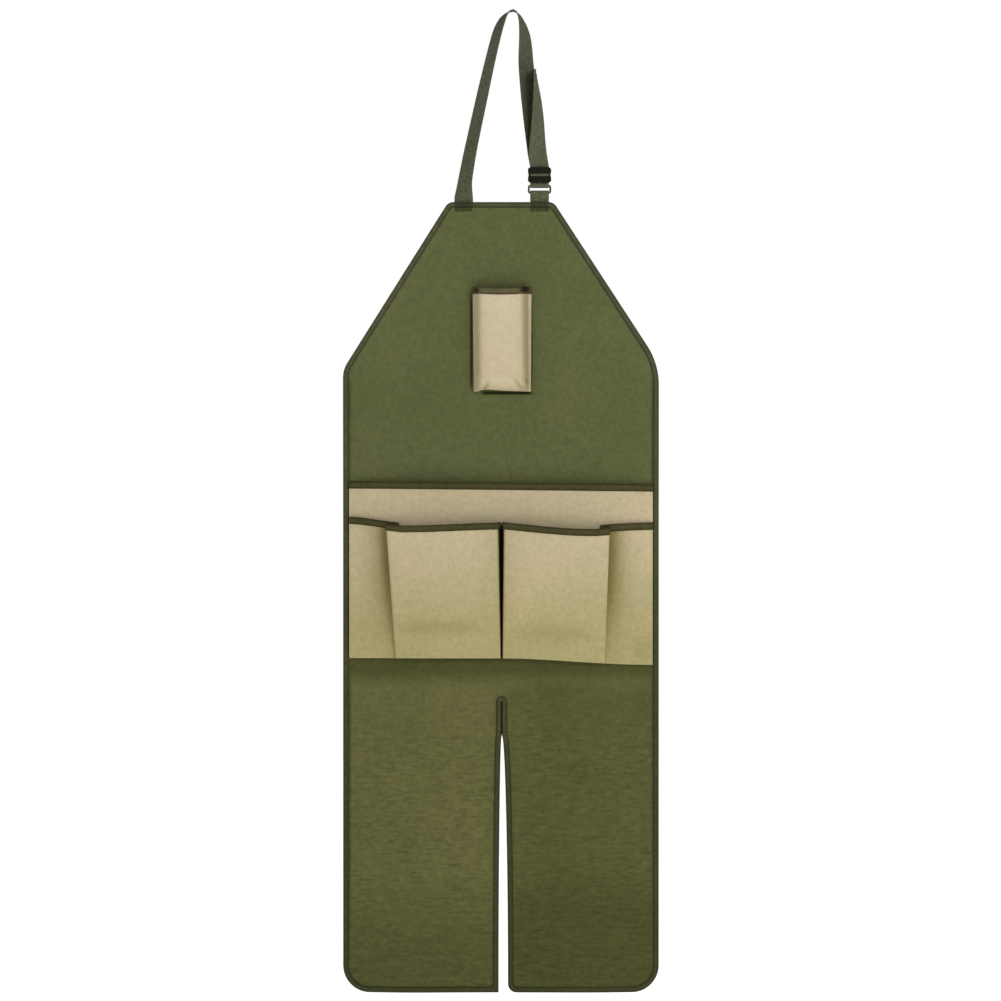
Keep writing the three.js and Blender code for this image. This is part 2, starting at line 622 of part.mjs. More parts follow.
function frontPocketGrid(side, profile) {
  const inner = PANEL_SHIFT + SLIT_SHIFT + (side * FRONT_POCKET_DIVIDE) / 2;
  const outer = PANEL_SHIFT + side * POCKET_SIDE;
  return pocketGrid({
    profile,
    width: Math.abs(outer - inner),
    left: Math.min(outer, inner),
    side,
    top: BIB_TOP - FRONT_POCKET_DROP,
    hem: pocketHem,
    depth: FRONT_POCKET_DEPTH,
    closing: (level) => 1 - level ** FRONT_POCKET_CLOSING,
    rows: 8,
  });
}

// Flat webbing along stations that give its middle, its direction across and its run
function webbingGeometry(stations) {
  const faces = [[], []];
  stations.forEach(({ centre, facing }, i) => {
    const before = stations[Math.max(i - 1, 0)].centre;
    const after = stations[Math.min(i + 1, stations.length - 1)].centre;
    const along = new THREE.Vector3().subVectors(after, before).normalize();
    const turn = degToRad(facing);
    const across = new THREE.Vector3(Math.cos(turn), -Math.sin(turn), 0);
    across.addScaledVector(along, -across.dot(along)).normalize();
    const normal = new THREE.Vector3().crossVectors(along, across);
    faces.forEach((face, k) => {
      const level = centre.clone().addScaledVector(normal, (k - 0.5) * WEBBING_THICKNESS);
      face.push([0.5, -0.5].map((share) => level.clone().addScaledVector(across, share * WEBBING_WIDTH)));
    });
  });
  return wallGeometry(...faces);
}

// Smooth run of the strap through the rows of a table, from or to its foot
function strapRun(table, footX, steps) {
  const top = WEBBING_THICKNESS / 2;
  const rows = table.map(({ rise, reach, depth, facing }) => ({
    place: new THREE.Vector3(lerp(footX, 0, reach), depth * WEBBING_WIDTH, lerp(BIB_TOP, top, rise)),
    facing: new THREE.Vector3(facing, 0, 0),
  }));
  const places = new THREE.CatmullRomCurve3(rows.map(({ place }) => place), false, 'catmullrom');
  const facings = new THREE.CatmullRomCurve3(rows.map(({ facing }) => facing), false, 'catmullrom');
  return Array.from({ length: steps + 1 }, (_, i) => ({
    centre: places.getPoint(i / steps),
    facing: facings.getPoint(i / steps).x,
  }));
}

// Half turn of webbing round a bar of the ring, from one side of the bar to the other
function barWrap(barZ, fromAngle, toAngle, steps = 6) {
  return Array.from({ length: steps + 1 }, (_, i) => {
    const angle = lerp(fromAngle, toAngle, i / steps);
    const y = HARDWARE_Y + RING_WRAP_RADIUS * Math.cos(angle);
    const z = barZ + RING_WRAP_RADIUS * Math.sin(angle);
    return { centre: new THREE.Vector3(HARDWARE_X, y, z), facing: 180 };
  });
}

const flatStation = (x, y, z, facing = 180) => ({ centre: new THREE.Vector3(x, y, z), facing });

function neckStrapGeometry() {
  const footX = PANEL_SHIFT + STRAP_FOOT_SHIFT;
  const sliderMiddle = BIB_TOP + SLIDER_RISE;
  const sliderEnds = [sliderMiddle + SLIDER_HEIGHT / 2, sliderMiddle - SLIDER_HEIGHT / 2];
  const rear = HARDWARE_Y + WEBBING_STACK / 2;
  const fore = HARDWARE_Y - WEBBING_STACK / 2;
  return webbingGeometry([
    flatStation(footX, 0, BIB_TOP - SEWN_LENGTH, 0),
    flatStation(footX, 0, BIB_TOP - SEWN_LENGTH / 2, 0),
    flatStation(footX, 0, BIB_TOP + SEAM_GAP, 0),
    ...strapRun(LEFT_RUN, footX, 30),
    ...strapRun(RIGHT_RUN, HARDWARE_X, 26),
    ...sliderEnds.map((z) => flatStation(HARDWARE_X, rear, z)),
    ...barWrap(RING_UPPER_BAR, 0, -Math.PI),
    ...sliderEnds.slice().reverse().map((z) => flatStation(HARDWARE_X, fore, z)),
    ...strapRun(TAIL_RUN, HARDWARE_X, 16),
  ]);
}

function strapTabGeometry() {
  const rear = HARDWARE_Y + WEBBING_STACK / 2;
  const fore = HARDWARE_Y - WEBBING_STACK / 2;
  return webbingGeometry([
    flatStation(HARDWARE_X, fore, BIB_TOP - SEWN_LENGTH),
    flatStation(HARDWARE_X, fore, BIB_TOP + SEAM_GAP),
    ...barWrap(RING_LOWER_BAR, Math.PI, 0),
    flatStation(HARDWARE_X, rear, BIB_TOP + SEAM_GAP),
    flatStation(HARDWARE_X, rear, BIB_TOP - SEWN_LENGTH),
  ]);
}

function ringGeometry() {
  const halfWidth = (RING_WIDTH - RING_WIRE) / 2;
  const corners = [
    { x: 0, z: RING_UPPER_BAR },
    { x: halfWidth, z: RING_UPPER_BAR, radius: RING_CORNER_RADIUS },
    { x: halfWidth, z: RING_LOWER_BAR, radius: RING_CORNER_RADIUS },
    { x: -halfWidth, z: RING_LOWER_BAR, radius: RING_CORNER_RADIUS },
    { x: -halfWidth, z: RING_UPPER_BAR, radius: RING_CORNER_RADIUS },
    { x: 0, z: RING_UPPER_BAR },
  ];
  const path = roundedLine(corners, 3).slice(0, -1);
  const placed = path.map((point) => new THREE.Vector3(HARDWARE_X + point.x, HARDWARE_Y, point.y));
  return wireLoopGeometry(placed, RING_WIRE / 2, 8);
}

const wasm = await Module();
wasm.setup();

// Solid that can be joined to others
function solidOf(geometry) {
  const bare = geometry.clone();
  bare.deleteAttribute('normal');
  bare.deleteAttribute('uv');
  const merged = mergeVertices(bare, 1e-4);
  return new wasm.Manifold(new wasm.Mesh({
    numProp: 3,
    vertProperties: new Float32Array(merged.attributes.position.array),
    triVerts: new Uint32Array(merged.index.array),
  }));
}

function geometryOf(solid) {
  const mesh = solid.getMesh();
  const geometry = new THREE.BufferGeometry();
  geometry.setAttribute('position', new THREE.BufferAttribute(mesh.vertProperties, 3));
  geometry.setIndex(new THREE.BufferAttribute(mesh.triVerts, 1));
  geometry.computeVertexNormals();
  return geometry;
}

// Outline of the slider's face: two bars with bulging ends and a waist between them
function sliderFace() {
  const halfWidth = SLIDER_WIDTH / 2;
  const halfHeight = SLIDER_HEIGHT / 2;
  const bulge = (halfHeight - SLIDER_WINDOW / 2) / 2;
  const barMiddle = SLIDER_WINDOW / 2 + bulge;
  const waist = halfWidth - SLIDER_WAIST;
  const shape = new THREE.Shape();
  shape.moveTo(waist - bulge, halfHeight);
  shape.quadraticCurveTo(halfWidth, halfHeight, halfWidth, barMiddle);
  shape.quadraticCurveTo(halfWidth, SLIDER_WINDOW / 2, waist, 0);
  shape.quadraticCurveTo(halfWidth, -SLIDER_WINDOW / 2, halfWidth, -barMiddle);
  shape.quadraticCurveTo(halfWidth, -halfHeight, waist - bulge, -halfHeight);
  shape.lineTo(bulge - waist, -halfHeight);
  shape.quadraticCurveTo(-halfWidth, -halfHeight, -halfWidth, -barMiddle);
  shape.quadraticCurveTo(-halfWidth, -SLIDER_WINDOW / 2, -waist, 0);
  shape.quadraticCurveTo(-halfWidth, SLIDER_WINDOW / 2, -halfWidth, barMiddle);
  shape.quadraticCurveTo(-halfWidth, halfHeight, bulge - waist, halfHeight);
  shape.closePath();
  return shape;
}

// Slider: the webbing runs between the two front bars and the centre bar behind them
function sliderGeometry() {
  const faceBack = HARDWARE_Y - WEBBING_STACK / 2 - WEBBING_THICKNESS / 2 - SEAM_GAP;
  const barFront = HARDWARE_Y + WEBBING_STACK / 2 + WEBBING_THICKNESS / 2 + SEAM_GAP;
  const barBack = barFront + SLIDER_BAR_THICKNESS;
  const railInside = WEBBING_WIDTH / 2 + SEAM_GAP;
  const face = new THREE.ExtrudeGeometry(sliderFace(), {
    depth: SLIDER_BAR_THICKNESS - 2 * SLIDER_BEVEL,
    bevelEnabled: true,
    bevelThickness: SLIDER_BEVEL,
    bevelSize: SLIDER_BEVEL,
    bevelOffset: -SLIDER_BEVEL,
    bevelSegments: 1,
    curveSegments: 4,
  });
  face.rotateX(Math.PI / 2);
  face.translate(0, faceBack - SLIDER_BEVEL, 0);
  const window = new THREE.BoxGeometry(2 * railInside, 4 * SLIDER_BAR_THICKNESS, SLIDER_WINDOW);
  window.translate(0, faceBack, 0);
  let solid = solidOf(face).subtract(solidOf(window));
  const railDepth = barBack - faceBack + SLIDER_BEVEL;
  for (const side of [-1, 1]) {
    const rail = new THREE.BoxGeometry(SLIDER_RAIL_WIDTH, railDepth, SLIDER_RAIL_HEIGHT);
    rail.translate(side * (railInside + SLIDER_RAIL_WIDTH / 2), barBack - railDepth / 2, 0);
    solid = solid.add(solidOf(rail));
  }
  const barWidth = 2 * railInside + SLIDER_RAIL_WIDTH;
  const bar = new THREE.BoxGeometry(barWidth, SLIDER_BAR_THICKNESS, SLIDER_CENTRE_BAR_HEIGHT);
  bar.translate(0, barFront + SLIDER_BAR_THICKNESS / 2, 0);
  return geometryOf(solid.add(solidOf(bar)));
}

const apron = new THREE.Group();

function addPiece(name, geometry, { color, roughness, metalness }) {
  const material = new THREE.MeshStandardMaterial({ color, roughness, metalness });
  const mesh = new THREE.Mesh(geometry, material);
  mesh.name = name;
  apron.add(mesh);
  return mesh;
}

// Panel and its edge tape
const grid = panelGrid();
const slitTopHeight = BIB_TOP - PANEL_HEIGHT + EDGE_INSET + SLIT_LENGTH;
const slitRow = grid.findIndex((row) => row[0].y <= slitTopHeight + SEAM_GAP);
addPiece('apron_panel', panelGeometry(grid, slitRow), CANVAS_OLIVE);
addPiece('edge_binding', edgeBindingGeometry(panelOutline(grid, slitRow)), TAPE_OLIVE);

// Pockets, each with the tape over its mouth
const pockets = [
  { name: 'phone_pocket', grid: phonePocketGrid(), carrier: panelFront, finish: PHONE_TAN },
  { name: 'tool_pocket', grid: toolPocketGrid(), carrier: panelFront, finish: POCKET_TAN },
  {
    name: 'left_front_pocket',
    grid: frontPocketGrid(-1, LEFT_FRONT_PROFILE),
    carrier: toolPocketFront,
    finish: POCKET_TAN,
  },
  {
    name: 'right_front_pocket',
    grid: frontPocketGrid(1, RIGHT_FRONT_PROFILE),
    carrier: toolPocketFront,
    finish: POCKET_TAN,
  },
];
for (const pocket of pockets) {
  addPiece(pocket.name, pocketGeometry(pocket.grid, pocket.carrier), pocket.finish);
  addPiece(`${pocket.name}_binding`, mouthBindingGeometry(pocket.grid, pocket.carrier), TAPE_OLIVE);
}

// Neck strap and its hardware
addPiece('neck_strap', neckStrapGeometry(), WEBBING_OLIVE);
addPiece('strap_tab', strapTabGeometry(), WEBBING_OLIVE);
addPiece('strap_ring', ringGeometry(), RING_BLACK);
const slider = addPiece('strap_slider', sliderGeometry(), SLIDER_BLACK);
slider.position.set(HARDWARE_X, 0, BIB_TOP + SLIDER_RISE);

export default apron;
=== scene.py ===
"""Gardening apron hung by its neck strap: canvas panel, bound edges, pockets and webbing."""

from __future__ import annotations

import logging
import math
from dataclasses import dataclass, field, replace
from enum import Enum
from functools import cache
from typing import Callable, Sequence
import bmesh
import bpy
import numpy as np
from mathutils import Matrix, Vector


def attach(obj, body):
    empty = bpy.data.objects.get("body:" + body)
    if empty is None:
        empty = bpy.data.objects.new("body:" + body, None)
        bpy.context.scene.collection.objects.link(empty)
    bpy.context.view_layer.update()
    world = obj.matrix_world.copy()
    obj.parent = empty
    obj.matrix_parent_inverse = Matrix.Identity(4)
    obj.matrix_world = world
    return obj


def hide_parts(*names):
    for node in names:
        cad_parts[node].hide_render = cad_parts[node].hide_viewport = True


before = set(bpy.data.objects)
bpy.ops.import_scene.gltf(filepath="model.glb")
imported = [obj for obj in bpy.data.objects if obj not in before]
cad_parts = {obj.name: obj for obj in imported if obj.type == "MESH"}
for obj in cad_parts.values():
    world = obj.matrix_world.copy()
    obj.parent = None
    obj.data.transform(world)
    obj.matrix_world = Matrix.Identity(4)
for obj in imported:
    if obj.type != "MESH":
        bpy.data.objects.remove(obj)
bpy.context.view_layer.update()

IMAGE_PIXELS = 1001
CLOTH_UV = "cloth"
OUTWARD = "outward"
# Point attribute with painted shade for folds, gaps and cast shadows, from 0 to 1
PAINTED_SHADE = "painted_shade"
UNSHADED = -1.0
FACE_LIFT = 0.0001
PATCH_SOCKETS = ("Centre X", "Centre Z", "Half Width", "Half Height", "Side Softness", "End Softness")

log = logging.getLogger("apron")

Array = np.ndarray
Place = tuple[float, float]
Colour = tuple[float, float, float]
Socket = bpy.types.NodeSocket
Outputs = Sequence[Socket]
Surface = Callable[[Array, Array], Array]
Piece = bpy.types.Object
Mesh = bpy.types.Mesh
Group = bpy.types.ShaderNodeTree


# Small helpers for shapes


def smoothstep(value: Array | float, low: float, high: float) -> Array:
    """Blend smoothly from 0 at low to 1 at high.

    Args:
        value: Number or array to test.
        low: Value at which the blend starts.
        high: Value at which the blend is complete.

    Returns:
        The blend, between 0 and 1.
    """
    share = np.clip((np.asarray(value, dtype=float) - low) / (high - low), 0.0, 1.0)
    return share * share * (3.0 - 2.0 * share)


def lerp(start: Array | float, end: Array | float, share: Array | float) -> Array:
    """Mix start and end by share."""
    return np.asarray(start) + (np.asarray(end) - np.asarray(start)) * share


def table(kind: Callable, *rows: Sequence[object]) -> tuple:
    """Make one object of a kind from each row of values."""
    return tuple(kind(*row) for row in rows)


@dataclass(frozen=True)
class Crease:
    """Soft crease along a line: its height, its strong end, its faded end and its half width."""

    height: float
    start: Place
    end: Place
    width: float
    lead: float = 0.5
    risen: float = 0.15
    fading: float = 0.3

    def at(self, x: Array, z: Array) -> Array:
        """Height of the crease.

        Args:
            x: Places across.
            z: Heights.

        Returns:
            The height at each place, full on the line and fading towards its ends.
        """
        along = np.array(self.end) - np.array(self.start)
        length = np.hypot(*along)
        along /= length
        right, up = x - self.start[0], z - self.start[1]
        passed = right * along[0] + up * along[1]
        aside = right * -along[1] + up * along[0]
        rise = smoothstep(passed, -self.lead * self.width, self.risen * length)
        fade = rise * (1 - smoothstep(passed, self.fading * length, length))
        return self.height * (np.exp(-((aside / self.width) ** 2)) * fade)


def rounded_line(corners: Sequence[tuple[float, float, float]], steps: int = 14) -> Array:
    """Polyline through corners, each rounded by its own radius.

    Args:
        corners: Place, height and radius of each corner.
        steps: Pieces in each rounded corner.

    Returns:
        Points of the line, one a row.
    """
    points: list[Array] = []
    for index, (x, z, radius) in enumerate(corners):
        corner = np.array([x, z])
        if radius == 0 or index in (0, len(corners) - 1):
            points.append(corner)
            continue
        back = np.array(corners[index - 1][:2]) - corner
        ahead = np.array(corners[index + 1][:2]) - corner
        back /= np.hypot(*back)
        ahead /= np.hypot(*ahead)
        half_angle = math.acos(float(np.clip(back @ ahead, -1, 1))) / 2
        middle = (back + ahead) / np.hypot(*(back + ahead))
        centre = corner + middle * radius / math.sin(half_angle)
        first = corner + back * radius / math.tan(half_angle) - centre
        sense = math.copysign(1.0, back[0] * ahead[1] - back[1] * ahead[0])
        for step in range(steps + 1):
            angle = -sense * (math.pi - 2 * half_angle) * step / steps
            cosine, sine = math.cos(angle), math.sin(angle)
            turned = (first[0] * cosine - first[1] * sine, first[0] * sine + first[1] * cosine)
            points.append(centre + np.array(turned))
    return np.array(points)


def rounded_window(half: float, bottom: float, top: float, radius: float, steps: int) -> Array:
    """Rectangle with round corners, clockwise from the middle of its top."""
    corners = [(half, top, radius), (half, bottom, radius), (-half, bottom, radius), (-half, top, radius)]
    return rounded_line([(0, top, 0), *corners, (0, top, 0)], steps)[:-1]


def spaced(points: Array, spacing: float) -> Array:
    """Add points to a polyline so that none of its pieces is longer than spacing.

    Args:
        points: Points of the line, one a row.
        spacing: Longest piece allowed.

    Returns:
        The points with the new ones between them.
    """
    result = [points[0]]
    for before, after in zip(points[:-1], points[1:]):
        pieces = max(1, math.ceil(float(np.linalg.norm(after - before)) / spacing))
        result.extend(lerp(before, after, piece / pieces) for piece in range(1, pieces + 1))
    return np.array(result)


def run_length(points: Array) -> Array:
    """Distance along a polyline from its first point to each of its points."""
    return np.concatenate([[0.0], np.cumsum(np.linalg.norm(np.diff(points, axis=0), axis=1))])


def smooth_curve(points: Array, steps: int) -> Array:
    """Even Catmull-Rom curve through points.

    Args:
        points: Points that the curve passes, one a row.
        steps: Number of pieces that the whole curve is cut into.

    Returns:
        steps + 1 points of the curve.
    """
    padded = np.vstack([2 * points[0] - points[1], points, 2 * points[-1] - points[-2]])
    result = []
    for place in np.linspace(0, len(points) - 1, steps + 1):
        index = min(int(place), len(points) - 2)
        t = place - index
        p0, p1, p2, p3 = padded[index : index + 4]
        bend = 2 * p0 - 5 * p1 + 4 * p2 - p3
        turn = -p0 + 3 * p1 - 3 * p2 + p3
        result.append((2 * p1 + (p2 - p0) * t + bend * t * t + turn * t**3) / 2)
    return np.array(result)


# Meshes


def new_object(name: str, data: bpy.types.ID) -> Piece:
    """Put an object with its data into the scene."""
    made = bpy.data.objects.new(name, data)
    bpy.context.scene.collection.objects.link(made)
    return made


def piece_from_mesh(
    name: str, mesh: Mesh, material: bpy.types.Material, sharp: float = 48
) -> Piece:
    """Put a mesh into the scene as a smooth-shaded piece on the root body.

    Args:
        name: Name of the piece.
        mesh: Its mesh, in metres, in the frame of the part.
        material: Its finish.
        sharp: Angle in degrees past which an edge is left sharp.

    Returns:
        The new object.
    """
    mesh.polygons.foreach_set("use_smooth", [True] * len(mesh.polygons))
    mesh.set_sharp_from_angle(angle=math.radians(sharp))
    mesh.materials.clear()
    mesh.materials.append(material)
    piece = new_object(name, mesh)
    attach(piece, "root")
    return piece


def outward_mesh(
    name: str, points: Array, faces: list[list[int]], uvs: list[Place], painted_shade: Array | None = None
) -> Mesh:
    """Mesh with a UV map whose closed surface faces outwards.

    Args:
        name: Name of the mesh.
        points: Points, one a row.
        faces: Point numbers round each face.
        uvs: Place on the cloth of each corner of each face, in order.
        painted_shade: Painted shade of each point in folds, gaps and shadows, from 0 to 1.

    Returns:
        The mesh.
    """
    middle = points.mean(axis=0)
    volume = 0.0
    for face in faces:
        first, *rest = (points[index] - middle for index in face)
        for second, third in zip(rest[:-1], rest[1:]):
            volume += float(first @ np.cross(second, third))
    if volume < 0:
        starts = np.cumsum([0] + [len(face) for face in faces])
        spans = zip(starts[:-1], starts[1:])
        uvs = [uv for start, end in spans for uv in reversed(uvs[start:end])]
        faces = [face[::-1] for face in faces]
    mesh = bpy.data.meshes.new(name)
    mesh.from_pydata(points.tolist(), [], faces)
    layer = mesh.uv_layers.new(name=CLOTH_UV)
    layer.data.foreach_set("uv", np.array(uvs, dtype=np.float32).ravel())
    if painted_shade is not None:
        depths = mesh.attributes.new(PAINTED_SHADE, "FLOAT", "POINT").data
        depths.foreach_set("value", painted_shade.astype(np.float32))
    mesh.update()
    return mesh


def cell(rows: int, columns: int, row: int, column: int) -> list[int]:
    """Point numbers round one cell of a grid that closes into a loop both ways."""
    below, after = (row + 1) % rows * columns, (column + 1) % columns
    return [row * columns + column, below + column, below + after, row * columns + after]


def cloth_wall(
    name: str,
    front: Array,
    back: Array,
    uv: Array,
    loop: bool = False,
    skip: Callable[[int, int], bool] | None = None,
    painted_shade: Array | None = None,
) -> Mesh:
    """Thin closed wall between two grids of points of the same size.

    Args:
        name: Name of the mesh.
        front: Rows and columns of points on one face.
        back: The same on the other face.
        uv: Place on the cloth of each grid point; one row more where the rows close into a loop.
        loop: Whether the last row joins the first.
        skip: Tells for a row and column whether that cell is left open.
        painted_shade: Painted shade of each grid point in folds, gaps and shadows, from 0 to 1.

    Returns:
        The mesh of the wall.
    """
    rows, columns = front.shape[:2]
    behind = rows * columns
    faces: list[list[int]] = []
    uvs: list[Place] = []
    edges: dict[tuple[int, int], tuple[Place, Place]] = {}
    flat_uv = [[tuple(place) for place in row] for row in uv.tolist()]
    for row in range(rows if loop else rows - 1):
        near, far = flat_uv[row], flat_uv[row + 1]
        for column in range(columns - 1):
            if skip and skip(row, column):
                continue
            corners = cell(rows, columns, row, column)
            places = [near[column], far[column], far[column + 1], near[column + 1]]
            faces.append(corners)
            uvs.extend(places)
            faces.append([index + behind for index in reversed(corners)])
            uvs.extend(reversed(places))
            for side in range(4):
                after = (side + 1) % 4
                edges[corners[side], corners[after]] = (places[side], places[after])
    for (start, end), (first, second) in edges.items():
        if (end, start) not in edges:
            faces.append([end, start, start + behind, end + behind])
            uvs.extend([second, first, first, second])
    points = np.vstack([front.reshape(-1, 3), back.reshape(-1, 3)])
    used = np.unique([index for face in faces for index in face])
    place_of = np.zeros(len(points), dtype=int)
    place_of[used] = np.arange(len(used))
    fore = np.broadcast_to(0.0 if painted_shade is None else painted_shade, (rows, columns)).ravel()
    shade = np.concatenate([fore, np.full(fore.size, UNSHADED)])[used]
    kept = [[int(place_of[index]) for index in face] for face in faces]
    return outward_mesh(name, points[used], kept, uvs, shade)


def swept_band(
    name: str, stations: Array, section: Array, across: Array, through: Array, painted_shade: Array
) -> Mesh:
    """Closed band with a constant section along a run of stations, capped at its ends.

    Args:
        name: Name of the mesh.
        stations: Middle of the band at each station.
        section: Points round the section, as shares across and through the band in metres.
        across: Direction across the band at each station.
        through: Direction through its thickness at each station.
        painted_shade: Painted shade of each station, from 0 to 1.

    Returns:
        The mesh of the band, whose UV runs round the section and along the band.
    """
    sideways, forwards = section[None, :, :1], section[None, :, 1:]
    rings = stations[:, None] + across[:, None] * sideways + through[:, None] * forwards
    rows, columns = rings.shape[:2]
    along = run_length(stations)
    around = run_length(np.vstack([section, section[:1]]))
    faces: list[list[int]] = []
    uvs: list[Place] = []
    for row in range(rows - 1):
        for column in range(columns):
            faces.append(cell(rows, columns, row, column))
            corners = ((0, 0), (0, 1), (1, 1), (1, 0))
            uvs.extend((around[column + right], along[row + on]) for right, on in corners)
    for row, order in ((0, 1), (rows - 1, -1)):
        cap = [row * columns + column for column in range(columns)][::order]
        faces.append(cap)
        uvs.extend([(around[index - row * columns], along[row]) for index in cap])
    return outward_mesh(name, rings.reshape(-1, 3), faces, uvs, np.repeat(painted_shade, columns))


def flat_section(width: float, thickness: float, pieces: int = 6, rounding: int = 3) -> Array:
    """Section of woven webbing: flat faces and rounded selvedges.

    Args:
        width: Width over the selvedges.
        thickness: Thickness of the webbing.
        pieces: Pieces across each face.
        rounding: Pieces in each quarter of a selvedge.

    Returns:
        Points round the section.
    """
    radius = thickness / 2
    reach = width / 2 - radius
    face = [(place, radius) for place in np.linspace(-reach, reach, pieces + 1)]
    turns = np.linspace(0, math.pi, 2 * rounding + 1)[1:-1]
    half = face + [(reach + radius * math.sin(turn), radius * math.cos(turn)) for turn in turns]
    return np.array(half + [(-x, -y) for x, y in half])


# Finishes


class Weave(Enum):
    """How a finish is woven or made."""

    CANVAS = "canvas"
    TAPE = "tape"
    WEBBING = "webbing"
    THREAD = "thread"
    MOULDED = "moulded"


class NodeSheet:
    """Writes nodes and links into one node tree."""

    def __init__(self, tree: bpy.types.NodeTree) -> None:
        """Start on a tree."""
        self.tree = tree

    def add(
        self, kind: str, inputs: dict[str | int, object] | None = None, **settings: object
    ) -> bpy.types.Node:
        """Add a node.

        Args:
            kind: Blender's name of the node type.
            inputs: Values or output sockets for its inputs, by name or number.
            settings: Settings of the node itself.

        Returns:
            The node.
        """
        node = self.tree.nodes.new(kind)
        for name, value in settings.items():
            setattr(node, name, value)
        for key, value in (inputs or {}).items():
            if isinstance(value, bpy.types.NodeSocket):
                self.tree.links.new(value, node.inputs[key])
            else:
                node.inputs[key].default_value = value
        return node

    def group(self, tree: bpy.types.NodeTree, inputs: dict[str | int, object]) -> Outputs:
        """Place a shader node group and return its outputs."""
        return self.add("ShaderNodeGroup", inputs, node_tree=tree).outputs

    def math(self, operation: str, first: object, second: object = 0.0, third: object = 0.0) -> Socket:
        """Add a Math node and return its result."""
        inputs = {0: first, 1: second, 2: third}
        return self.add("ShaderNodeMath", inputs, operation=operation).outputs[0]

    def mix(self, share: object, first: object, second: object, blend: str = "MIX") -> Socket:
        """Add a colour Mix node and return its result."""
        inputs = {0: share, 6: first, 7: second}
        return self.add("ShaderNodeMix", inputs, data_type="RGBA", blend_type=blend).outputs[2]

    def noise(self, place: Socket, scale: object, detail: float, roughness: float = 0.5) -> Socket:
        """Add a Noise Texture node and return its value."""
        inputs = {"Vector": place, "Scale": scale, "Detail": detail, "Roughness": roughness}
        return self.add("ShaderNodeTexNoise", inputs).outputs[0]

    def spread(
        self,
        value: Socket,
        low: object,
        high: object,
        start: float = 0.0,
        end: float = 1.0,
        soft: bool = False,
    ) -> Socket:
        """Add a Map Range node.

        Args:
            value: Number to map.
            low: Number that turns into start.
            high: Number that turns into end.
            start: Result at low.
            end: Result at high.
            soft: Whether the result eases in and out.

        Returns:
            The result, which stays between start and end.
        """
        inputs = {0: value, 1: low, 2: high, 3: start, 4: end}
        kind = "SMOOTHSTEP" if soft else "LINEAR"
        return self.add("ShaderNodeMapRange", inputs, interpolation_type=kind).outputs[0]

    def parts(self, place: Socket) -> Outputs:
        """Add a Separate XYZ node and return its three results."""
        return self.add("ShaderNodeSeparateXYZ", {0: place}).outputs

    def humps(self, value: Socket) -> Socket:
        """Row of round humps, one for each whole step of a value."""
        wave = self.math("SINE", self.math("MULTIPLY", value, math.pi))
        return self.math("ABSOLUTE", wave)


class GroupSheet(NodeSheet):
    """Sheet of a new shader node group with named inputs and outputs."""

    def __init__(self, name: str, inputs: dict[str, float | None], outputs: Sequence[str]) -> None:
        """Start the group.

        Args:
            name: Name of the group.
            inputs: Its inputs with their defaults; None makes a vector input.
            outputs: Names of its number outputs.
        """
        super().__init__(bpy.data.node_groups.new(name, "ShaderNodeTree"))
        for label, default in inputs.items():
            kind = "NodeSocketVector" if default is None else "NodeSocketFloat"
            socket = self.tree.interface.new_socket(label, in_out="INPUT", socket_type=kind)
            if default is not None:
                socket.default_value = default
        for label in outputs:
            self.tree.interface.new_socket(label, in_out="OUTPUT", socket_type="NodeSocketFloat")
        self.given = self.tree.nodes.new("NodeGroupInput").outputs
        self.result = self.tree.nodes.new("NodeGroupOutput").inputs

    def lead(self, name: str, value: Socket) -> None:
        """Lead a value to one output of the group."""
        self.tree.links.new(value, self.result[name])


